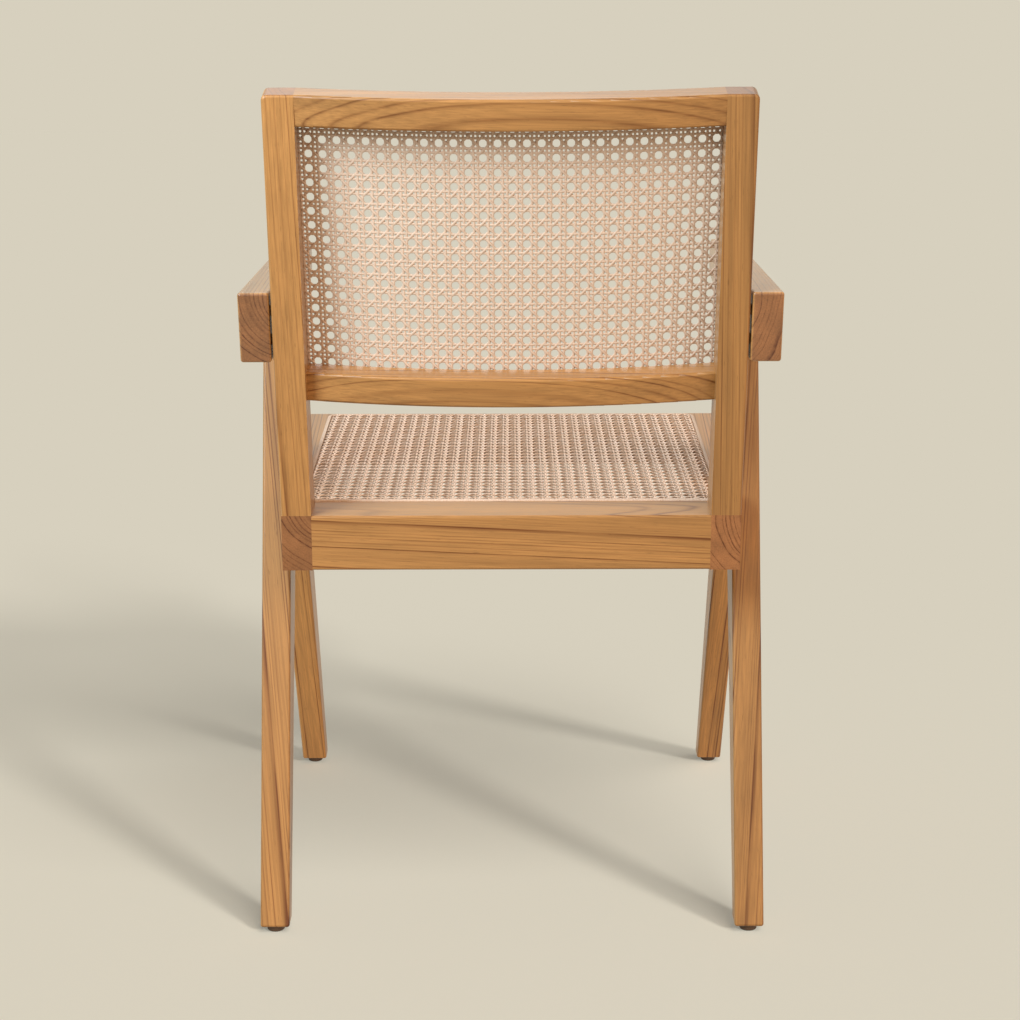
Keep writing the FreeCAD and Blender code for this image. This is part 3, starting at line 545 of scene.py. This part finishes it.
FITTINGS = {"_dowels": beech, "leg_screws": plating, "glide_nails": plating, "_glide": glide_plastic}
fitted = []
for ending, finish in FITTINGS.items():
    for name in nodes:
        if name.endswith(ending):
            dress(name, finish)
            fitted.append(name)
print("beech, plating and plastic on", len(fitted), "nodes")

# %% [markdown]
# A reed spline is the pith of the same rattan that the cane is peeled from. It is driven with glue into
# the groove over the webbing's edge, and it looks a little paler and duller than the cane, with fine
# pores, drawn a little wider than real. The solids already have its shape, so it only needs its finish.

# %% Reed splines
REED_PORE = 0.7
REED_TONES = [(0.32, "#C9A98C"), (0.5, "#DCC3AA"), (0.7, "#E6D2BD")]

reed, _, shader, _ = grained("rattan_reed", REED_PORE, 2.0, REED_TONES, raised=True)
shader.inputs["Roughness"].default_value = 0.55
for name in ("seat_spline", "back_spline"):
    dress(name, reed)
print("reed on 2 splines")

# %% [markdown]
# The panels are six-way cane webbing. Pairs of strands run lengthwise and crosswise every half inch,
# and single strands run both ways on the diagonal and cross midway between the pairs, which leaves
# the eight-sided holes. A picture of holes on a sheet would look flat from near, so every strand is
# modelled. First the plan of a panel is drawn flat: each strand is one straight edge, cut where it
# meets the panel's rounded outline. The coordinates are s across the chair and t up the panel.

# %% Outline of a panel
def rounded_outline(corners, radius, steps=6):
    """Points round a convex outline whose corners are turned with a radius."""
    points = []
    for before, corner, after in zip(corners[-1:] + corners[:-1], corners, corners[1:] + corners[:1]):
        into = (before - corner).normalized()
        out = (after - corner).normalized()
        half = math.acos(into.dot(out)) / 2
        centre = corner + (into + out).normalized() * radius / math.sin(half)
        start = corner + into * radius / math.tan(half) - centre
        end = corner + out * radius / math.tan(half) - centre
        sweep = start.angle_signed(end)
        for step in range(steps + 1):
            points.append(centre + Matrix.Rotation(-sweep * step / steps, 2) @ start)
    return points


def sides_of(outline):
    """Outward normals of a convex outline's sides and their distances from the origin."""
    normals = []
    for p, q in zip(outline, outline[1:] + outline[:1]):
        side = (q - p).normalized()
        normals.append((side.y, -side.x, side.y * p.x - side.x * p.y))
    return np.array(normals)


# %% [markdown]
# The outline has no hollow corner, so each of its sides either shortens a strand or leaves it alone, and
# one pass over the sides finds both ends. A strand that comes out shorter than half a pitch is left
# out, and the others keep a little beyond the outline for the groove.

# %% Cutting a strand
WEAVE_PITCH = 13.0 * MM
LONGEST = 1.0
PARALLEL = 1e-9


def cut_to_outline(point, way, sides, beyond):
    """Ends of a straight strand inside an outline, each carried on a little beyond it."""
    first, last = -LONGEST, LONGEST
    for nx, ny, distance in sides:
        speed = nx * way.x + ny * way.y
        room = distance - (nx * point.x + ny * point.y)
        if abs(speed) < PARALLEL:
            if room < 0:
                return None
        elif speed > 0:
            last = min(last, room / speed)
        else:
            first = max(first, room / speed)
    if last - first < WEAVE_PITCH / 2:
        return None
    return point + way * (first - beyond), point + way * (last + beyond)


# %% [markdown]
# Four families make the weave: lengthwise and crosswise pairs, and diagonals that rise and fall. Each
# strand remembers a sign, +1 or -1, because the two partners of a pair, and the two diagonals, pass
# over and under the crossing strands the other way round. The edges and that sign go into a plan mesh
# with nothing but edges.

# %% Family of strands
TUCK = 5.0 * MM


def strand_family(way, starts, signs, sides):
    """Plan mesh of parallel strands: one edge each, with its weave sign on both ends."""
    ends = []
    marks = []
    # a diagonal meets the rim at a slant, so it takes more to reach as deep
    stretch = 1.0 if 0 in (round(way.x, 6), round(way.y, 6)) else math.sqrt(2)
    for start, sign in zip(starts, signs):
        cut = cut_to_outline(start, way, sides, TUCK * stretch)
        if cut:
            ends += cut
            marks += [sign, sign]
    plan = bpy.data.meshes.new("strand_plan")
    edges = [(i, i + 1) for i in range(0, len(ends), 2)]
    plan.from_pydata([(p.x, p.y, 0) for p in ends], edges, [])
    mark = plan.attributes.new("weave_sign", "FLOAT", "POINT")
    mark.data.foreach_set("value", marks)
    return plan


# %% [markdown]
# The pairs stand a pitch apart, with their two partners 2 mm to each side, and the diagonals cross midway
# between the pairs. Each family is drawn over the whole panel and cut to its outline.

# %% Plans of a panel
PAIR_HALF = 2.0 * MM


def pair_lines(low, high, phase):
    """Places of paired strands between two limits, with the sign of each partner."""
    first = math.floor((low - phase) / WEAVE_PITCH)
    last = math.ceil((high - phase) / WEAVE_PITCH)
    lines = []
    for count in range(first, last + 1):
        middle = phase + count * WEAVE_PITCH
        lines += [(middle - PAIR_HALF, 1.0), (middle + PAIR_HALF, -1.0)]
    return lines


def panel_plans(outline, phase_s, phase_t):
    """Plan meshes of a panel's lengthwise, crosswise and diagonal strands."""
    sides = sides_of(outline)
    low_s, high_s = min(p.x for p in outline), max(p.x for p in outline)
    low_t, high_t = min(p.y for p in outline), max(p.y for p in outline)
    middle_t = (low_t + high_t) / 2
    upright = pair_lines(low_s, high_s, phase_s)
    level = pair_lines(low_t, high_t, phase_t)
    plans = {
        "lengthwise": strand_family(Vector((0, 1)), [Vector((s, middle_t)) for s, _ in upright],
                                    [sign for _, sign in upright], sides),
        "crosswise": strand_family(Vector((1, 0)), [Vector((0, t)) for t, _ in level],
                                   [sign for _, sign in level], sides),
    }
    reach = int((high_s - low_s + high_t - low_t) / WEAVE_PITCH)
    for name, slope, sign in (("rising", 1, -1.0), ("falling", -1, 1.0)):
        starts = []
        for count in range(-reach, reach + 1):
            starts.append(Vector((phase_s + (count + 0.5) * WEAVE_PITCH, phase_t)))
        way = Vector((1, slope)).normalized()
        plans[name] = strand_family(way, starts, [sign] * len(starts), sides)
    return plans


# %% [markdown]
# Geometry Nodes turn the plan into cane. The tree's inputs are the sizes of the weave, so that one tree
# serves all families of both panels. Each edge of the plan becomes a curve with a tone of its own, which
# the cane's finish reads later, and with a point every millimetre and a half.

# %% Tree that weaves a family
WEAVE_INPUTS = {
    "Plan": "NodeSocketGeometry", "Along": "NodeSocketVector", "Phase": "NodeSocketFloat",
    "Pitch": "NodeSocketFloat", "First Wave": "NodeSocketFloat", "Second Wave": "NodeSocketFloat",
    "Cross Wave": "NodeSocketFloat", "Width": "NodeSocketFloat", "Thickness": "NodeSocketFloat",
    "Step": "NodeSocketFloat", "Seed": "NodeSocketInt", "Cane": "NodeSocketMaterial",
}

weave = bpy.data.node_groups.new("cane_weave", "GeometryNodeTree")
sockets = {name: weave.interface.new_socket(name, in_out="INPUT", socket_type=kind).identifier
           for name, kind in WEAVE_INPUTS.items()}
weave.interface.new_socket("Weave", in_out="OUTPUT", socket_type="NodeSocketGeometry")
given = add(weave, "NodeGroupInput").outputs
strands = add(weave, "GeometryNodeMeshToCurve", {"Mesh": given["Plan"]})
luck = add(weave, "FunctionNodeRandomValue", {"Seed": given["Seed"]}, data_type="FLOAT")
strands = add(weave, "GeometryNodeStoreNamedAttribute",
              {"Geometry": strands.outputs[0], "Name": "strand_tone", "Value": luck.outputs[1]},
              data_type="FLOAT", domain="CURVE")
strands = add(weave, "GeometryNodeResampleCurve", {"Curve": strands.outputs[0], "Length": given["Step"]},
              mode="LENGTH")
print("weave tree with inputs", list(sockets))

# %% [markdown]
# A paired strand goes over one partner of each pair that it crosses and under the other, and the sum of
# two sine waves draws that quick change. A diagonal strand goes over the pairs of one direction and
# under those of the other, which one cosine draws. The sign in the plan turns a strand's wave round.

# %% Wave of a strand
spot = add(weave, "GeometryNodeInputPosition")
reach = add(weave, "ShaderNodeVectorMath", {0: spot.outputs[0], 1: given["Along"]}, operation="DOT_PRODUCT")
reach = add(weave, "ShaderNodeMath", {0: reach.outputs["Value"], 1: given["Phase"]}, operation="SUBTRACT")
turns = add(weave, "ShaderNodeMath", {0: reach.outputs[0], 1: given["Pitch"]}, operation="DIVIDE")
angle = add(weave, "ShaderNodeMath", {0: turns.outputs[0], 1: 2 * math.pi}, operation="MULTIPLY")
double = add(weave, "ShaderNodeMath", {0: angle.outputs[0], 1: 2.0}, operation="MULTIPLY")
first = add(weave, "ShaderNodeMath", {0: angle.outputs[0]}, operation="SINE")
second = add(weave, "ShaderNodeMath", {0: double.outputs[0]}, operation="SINE")
cross = add(weave, "ShaderNodeMath", {0: angle.outputs[0]}, operation="COSINE")
lift = add(weave, "ShaderNodeMath", {0: first.outputs[0], 1: given["First Wave"]}, operation="MULTIPLY")
lift = add(weave, "ShaderNodeMath", {0: second.outputs[0], 1: given["Second Wave"], 2: lift.outputs[0]},
           operation="MULTIPLY_ADD")
lift = add(weave, "ShaderNodeMath", {0: cross.outputs[0], 1: given["Cross Wave"], 2: lift.outputs[0]},
           operation="MULTIPLY_ADD")
sign = add(weave, "GeometryNodeInputNamedAttribute", {"Name": "weave_sign"}, data_type="FLOAT")
lift = add(weave, "ShaderNodeMath", {0: lift.outputs[0], 1: sign.outputs["Attribute"]}, operation="MULTIPLY")
raised = add(weave, "ShaderNodeCombineXYZ", {"Z": lift.outputs[0]})
strands = add(weave, "GeometryNodeSetPosition", {"Geometry": strands.outputs[0], "Offset": raised.outputs[0]})
strands = add(weave, "GeometryNodeSetCurveNormal", {"Curve": strands.outputs[0]}, mode="Z_UP")
print("strands with their wave,", len(weave.nodes), "nodes")

# %% [markdown]
# Peeled cane has a shiny round skin and a flat inside. A ring of five points is enough of a section for
# that. The two points of its flat side are marked, so that the finish can colour the inside apart,
# and the ring is scaled to the strand's width and thickness and swept along every strand.

# %% Section of a strand
SECTION_POINTS = 5
SECTION_TURN = 2 * math.pi / SECTION_POINTS
SECTION_HALF_WIDTH = math.sin(SECTION_TURN)
SECTION_HEIGHT = 1 + math.cos(SECTION_TURN / 2)
INSIDE_ABOVE = 0.5

ring = add(weave, "GeometryNodeCurvePrimitiveCircle", {"Resolution": SECTION_POINTS, "Radius": 1.0})
ring = add(weave, "GeometryNodeTransform", {"Geometry": ring.outputs[0], "Rotation": (0, 0, -math.pi / 2)})
ring_spot = add(weave, "ShaderNodeSeparateXYZ", {0: spot.outputs[0]})
inside = add(weave, "ShaderNodeMath", {0: ring_spot.outputs["Y"], 1: INSIDE_ABOVE}, operation="GREATER_THAN")
ring = add(weave, "GeometryNodeStoreNamedAttribute",
           {"Geometry": ring.outputs[0], "Name": "strand_inside", "Value": inside.outputs[0]},
           data_type="FLOAT", domain="POINT")
wide = add(weave, "ShaderNodeMath", {0: given["Width"], 1: 2 * SECTION_HALF_WIDTH}, operation="DIVIDE")
thick = add(weave, "ShaderNodeMath", {0: given["Thickness"], 1: SECTION_HEIGHT}, operation="DIVIDE")
sized = add(weave, "ShaderNodeCombineXYZ", {"X": wide.outputs[0], "Y": thick.outputs[0], "Z": 1.0})
section = add(weave, "GeometryNodeTransform", {"Geometry": ring.outputs[0], "Scale": sized.outputs[0]})
cane = add(weave, "GeometryNodeCurveToMesh",
           {"Curve": strands.outputs[0], "Profile Curve": section.outputs[0], "Fill Caps": True})
cane = add(weave, "GeometryNodeSetShadeSmooth", {"Geometry": cane.outputs[0]})
cane = add(weave, "GeometryNodeRealizeInstances", {"Geometry": cane.outputs[0]})
cane = add(weave, "GeometryNodeSetMaterial", {"Geometry": cane.outputs[0], "Material": given["Cane"]})
add(weave, "NodeGroupOutput", {"Weave": cane.outputs[0]})
print("weave tree with", len(weave.nodes), "nodes")

# %% [markdown]
# Rattan cane keeps its natural skin: pale straw with a soft shine, each strand a little lighter or
# darker than the next, with faint darker stretches along it. The strand's tone comes from the weave
# tree; the stretches come from noise in the panel's space, drawn coarser than real so that they show.
# The seat is seen at a low angle, where its holes show the strands beyond them and the shade under
# the webbing. Its cane gets a dark inside, which is painted shade, and a paler skin than the back's,
# which is painted light. The back is seen face on, and its cane is pale all round.

# %% Natural cane
CANE_STREAK = 9.0
STREAK_SHARE = 0.6
OWN_SHARE = 0.55
TONE_STOPS = (0.2, 0.45, 0.85)
CANE_ROUGHNESS = (0.34, 0.56)


def rattan_cane(name, tones, inside_tone_and_shade):
    """Cane finish from the tones of dark, middling and pale strands, and the tone of their inside."""
    material, tree, shader = finish_of(name)
    own = add(tree, "ShaderNodeAttribute", attribute_name="strand_tone")
    spot = add(tree, "ShaderNodeTexCoord")
    streaks = add(tree, "ShaderNodeTexNoise",
                  {"Vector": spot.outputs["Object"], "Scale": 1 / (CANE_STREAK * MM), "Detail": 3.0,
                   "Roughness": 0.6}).outputs["Fac"]
    mixed = add(tree, "ShaderNodeMath", {0: own.outputs["Fac"], 1: OWN_SHARE}, operation="MULTIPLY")
    mixed = add(tree, "ShaderNodeMath", {0: streaks, 1: STREAK_SHARE, 2: mixed.outputs[0]},
                operation="MULTIPLY_ADD")
    skin = add(tree, "ShaderNodeValToRGB", {"Fac": mixed.outputs[0]},
               stops=[(at, linear(tone)) for at, tone in zip(TONE_STOPS, tones)])
    inside = add(tree, "ShaderNodeAttribute", attribute_name="strand_inside")
    both = add(tree, "ShaderNodeMix", {0: inside.outputs["Fac"], 6: skin.outputs["Color"],
                                       7: linear(inside_tone_and_shade)}, data_type="RGBA")
    tree.links.new(both.outputs[2], shader.inputs["Base Color"])
    gloss = add(tree, "ShaderNodeMapRange", {"Value": streaks, "To Min": CANE_ROUGHNESS[0],
                                             "To Max": CANE_ROUGHNESS[1]})
    tree.links.new(gloss.outputs["Result"], shader.inputs["Roughness"])
    return material


# the seat's paler skin is painted light, and its dark inside is painted shade standing for the shade in its
# holes
seat_cane = rattan_cane("rattan_cane_seat_painted_light_and_shade", ("#E8C8A8", "#F2D8BE", "#F8E6D4"), "#5A3416")
back_cane = rattan_cane("natural_rattan_cane_back", ("#CBA68A", "#D9BCA3", "#E3CDB9"), "#CFB7A0")
print("cane finishes", seat_cane.name, back_cane.name)

# %% [markdown]
# The flat weave is now laid on the chair. On the seat it lies on a plane that rises to the front; on
# the back it leans and follows the bow of the two back rails. At the rim the webbing turns down into
# its groove, so whatever reaches past the outline is bent round a tight edge. Moving the finished
# points by one formula keeps the strands whole, and a modifier could not bend both ways so simply.

# %% Bend at the rim
RIM_BEND = 0.6 * MM
RIM_SQUEEZE = 0.65


def turned_at_rim(points, sides):
    """Flat weave points with everything past the outline bent down into the groove."""
    flat = points[:, :2]
    past = flat @ sides[:, :2].T - sides[:, 2]
    nearest = past.argmax(axis=1)
    over = past.max(axis=1)
    outward = sides[nearest, :2]
    height = points[:, 2]
    angle = np.clip(over / RIM_BEND, 0, math.pi / 2)
    squeezed = np.where(over > 0, height * RIM_SQUEEZE, height)
    down = np.clip(over - RIM_BEND * math.pi / 2, 0, None)
    step_out = (RIM_BEND + squeezed) * np.sin(angle)
    bent_height = (RIM_BEND + squeezed) * np.cos(angle) - RIM_BEND - down
    bent = flat - outward * over[:, None] + outward * step_out[:, None]
    return np.where(over[:, None] > 0, np.column_stack((bent, bent_height)), points)


# %% [markdown]
# One function runs the weave tree on a plan, with the strand's sizes and the family's wave, and keeps
# the result as a plain mesh, whose points it then lays on the chair. The waves are shares of the
# strand's thickness, so that they suit thick strands and thin ones alike.

# %% Weaving a family
STRAND_WIDTH = 2.2 * MM
STEPS_IN_PITCH = 9
PAIR_WAVE = 0.5
SECOND_SHARE = 0.88
# highest point of the first wave and that share of the second together
PAIR_WAVE_SUM = 1.645
DIAGONAL_WAVE = 1.0
LAYERS = {
    "lengthwise": {"along": (0, 1, 0), "pair": -PAIR_WAVE, "diagonal": 0.0},
    "crosswise": {"along": (1, 0, 0), "pair": PAIR_WAVE, "diagonal": 0.0},
    "rising": {"along": (1, 0, 0), "pair": 0.0, "diagonal": DIAGONAL_WAVE},
    "falling": {"along": (1, 0, 0), "pair": 0.0, "diagonal": DIAGONAL_WAVE},
}


def woven(name, plan, layer, phases, strand, seed, lay):
    """Runs the weave tree on a plan and lays the plain mesh on the chair."""
    maker = bpy.data.objects.new(name, plan)
    bpy.context.scene.collection.objects.link(maker)
    modifier = maker.modifiers.new("weave", "NODES")
    modifier.node_group = weave
    along = Vector(layer["along"])
    thickness, cane = strand
    pair_wave = layer["pair"] * thickness / PAIR_WAVE_SUM
    values = {
        "Along": along, "Phase": along.x * phases[0] + along.y * phases[1], "Pitch": WEAVE_PITCH,
        "First Wave": pair_wave, "Second Wave": pair_wave * SECOND_SHARE,
        "Cross Wave": layer["diagonal"] * thickness, "Width": STRAND_WIDTH, "Thickness": thickness,
        "Step": WEAVE_PITCH / STEPS_IN_PITCH, "Seed": seed, "Cane": cane,
    }
    for label, value in values.items():
        modifier[sockets[label]] = value
    result = maker.evaluated_get(bpy.context.evaluated_depsgraph_get())
    mesh = bpy.data.meshes.new_from_object(result)
    bpy.data.objects.remove(maker)
    flat = np.empty(len(mesh.vertices) * 3)
    mesh.vertices.foreach_get("co", flat)
    mesh.vertices.foreach_set("co", lay(flat.reshape(-1, 3)).ravel())
    mesh.update()
    mesh.name = name
    piece = bpy.data.objects.new(name, mesh)
    bpy.context.scene.collection.objects.link(piece)
    return piece


# %% [markdown]
# The seat's panel is a little wider at the front, because the chair's sides open by about a degree.
# Its plane comes from the seat's mount in the record, its length and width from the solid net's box.
# The outline is where the webbing starts to bend down, just inside the net's rim.

# %% Shape of the seat's panel
SIDE_OPENING = math.radians(1.04)
NET_TOP_TO_MIDDLE = 0.7 * MM
RIM_THICKNESS = 1.1 * MM
RIM_CORNER = 9.0 * MM
BEND_INSET = RIM_THICKNESS / 2 + RIM_BEND

mount = next(m for m in frame["record"]["mounts"] if m["name"] == "seat_top")
seat_up = Vector(mount["axis"])
seat_rearward = seat_up.cross(SIDEWAYS)
seat_low, seat_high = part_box("seat_cane")
seat_middle_y = (seat_low.y + seat_high.y) / 2
seat_origin = Vector(mount["pos_m"]) - seat_up * NET_TOP_TO_MIDDLE
seat_origin += seat_rearward * (seat_middle_y - seat_origin.y) / seat_rearward.y
seat_half_length = (seat_high.y - seat_low.y) / 2 / seat_rearward.y - BEND_INSET
front_half = seat_high.x - BEND_INSET
rear_half = front_half - 2 * seat_half_length * math.tan(SIDE_OPENING)
seat_corners = [Vector((-front_half, -seat_half_length)), Vector((front_half, -seat_half_length)),
                Vector((rear_half, seat_half_length)), Vector((-rear_half, seat_half_length))]
seat_outline = rounded_outline(seat_corners, RIM_CORNER - BEND_INSET)
seat_sides = sides_of(seat_outline)
print("seat panel", round(2 * front_half, 4), "m wide in front,", round(2 * seat_half_length, 4), "m long")


def lay_on_seat(points):
    """Flat weave points bent at the rim and laid on the seat's plane."""
    axes = np.array([SIDEWAYS, seat_rearward, seat_up])
    return turned_at_rim(points, seat_sides) @ axes + np.array(seat_origin)


# %% [markdown]
# A panel's four families together stand for its solid net. On the seat a hole lies on the chair's middle
# line, so the nearest pairs of strands lie half a pitch to each side of it. When the seat's strands
# are woven they join the lamps' groups: the softbox leaves them out, and the seat's lamp is theirs.

# %% Seat panel
SEAT_STRAND = (1.0 * MM, seat_cane)
HALF_PITCH = WEAVE_PITCH / 2


def weave_panel(node, outline, phases, strand, lay):
    """Weaves the four families of a panel, which together stand for its solid net."""
    pieces = []
    for seed, (family, plan) in enumerate(panel_plans(outline, *phases).items(), start=1):
        piece = woven(f"{node}_{family}", plan, LAYERS[family], phases, strand, seed, lay)
        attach(piece, "root")
        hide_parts(node)
        pieces.append(piece)
        print(piece.name, sum(len(face.vertices) - 2 for face in piece.data.polygons), "triangles")
    return pieces


for piece in weave_panel("seat_cane", seat_outline, (HALF_PITCH, HALF_PITCH), SEAT_STRAND, lay_on_seat):
    name_in("seat_only", piece)
    name_in("frame_and_back", piece)

# %% [markdown]
# The back's panel is a rectangle that leans with the stiles and bows to the rear between them. The lean
# is read from the solid net: the topmost and the foremost point of its straight left side. Pulled
# tight in its frame, the webbing is a little longer upwards and narrower across than when it was
# woven, and the photograph shows by how much. The lowest full row of holes is counted from the rim.

# %% Back panel
BACK_STRAND = (0.45 * MM, back_cane)
BACK_BOW = 18.0 * MM
BACK_ARC_HALF = 186.07 * MM
BACK_ARC_RADIUS = (BACK_ARC_HALF ** 2 + BACK_BOW ** 2) / (2 * BACK_BOW)
BACK_STRETCH = (0.9855, 1.003)
LOWEST_HOLES = 24.4 * MM
BACK_SHIFT = 1.6 * MM
SIDE_FACE = 0.05 * MM

back_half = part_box("back_cane")[1].x
left_side = [v.co for v in nodes["back_cane"].data.vertices if v.co.x > back_half - SIDE_FACE]
side_top = max(left_side, key=lambda point: point.z)
side_foot = min(left_side, key=lambda point: point.y)
back_up = (side_top - side_foot).normalized()
back_front = Vector(SIDEWAYS).cross(back_up)
back_length = (side_top - side_foot).length + 2 * RIM_CORNER
back_origin = side_foot + back_up * (LOWEST_HOLES - RIM_CORNER) - back_front * NET_TOP_TO_MIDDLE
back_origin.x = 0
half_across = (back_half - BEND_INSET) / BACK_STRETCH[0]
below = (BEND_INSET - LOWEST_HOLES) / BACK_STRETCH[1]
above = (back_length - BEND_INSET - LOWEST_HOLES) / BACK_STRETCH[1]
back_corners = [Vector((-half_across, below)), Vector((half_across, below)),
                Vector((half_across, above)), Vector((-half_across, above))]
back_outline = rounded_outline(back_corners, RIM_CORNER - BEND_INSET)
back_sides = sides_of(back_outline)


def lay_on_back(points):
    """Flat weave points bent at the rim, stretched, leant and bowed."""
    bent = turned_at_rim(points, back_sides)
    across = bent[:, 0] * BACK_STRETCH[0]
    inside = np.clip(BACK_ARC_RADIUS ** 2 - across ** 2, 0, None)
    bow = np.clip(np.sqrt(inside) - (BACK_ARC_RADIUS - BACK_BOW), 0, None)
    flat = np.column_stack((across, bent[:, 1] * BACK_STRETCH[1], bent[:, 2] - bow))
    return flat @ np.array([SIDEWAYS, back_up, back_front]) + np.array(back_origin)


weave_panel("back_cane", back_outline, (HALF_PITCH - BACK_SHIFT, HALF_PITCH), BACK_STRAND, lay_on_back)
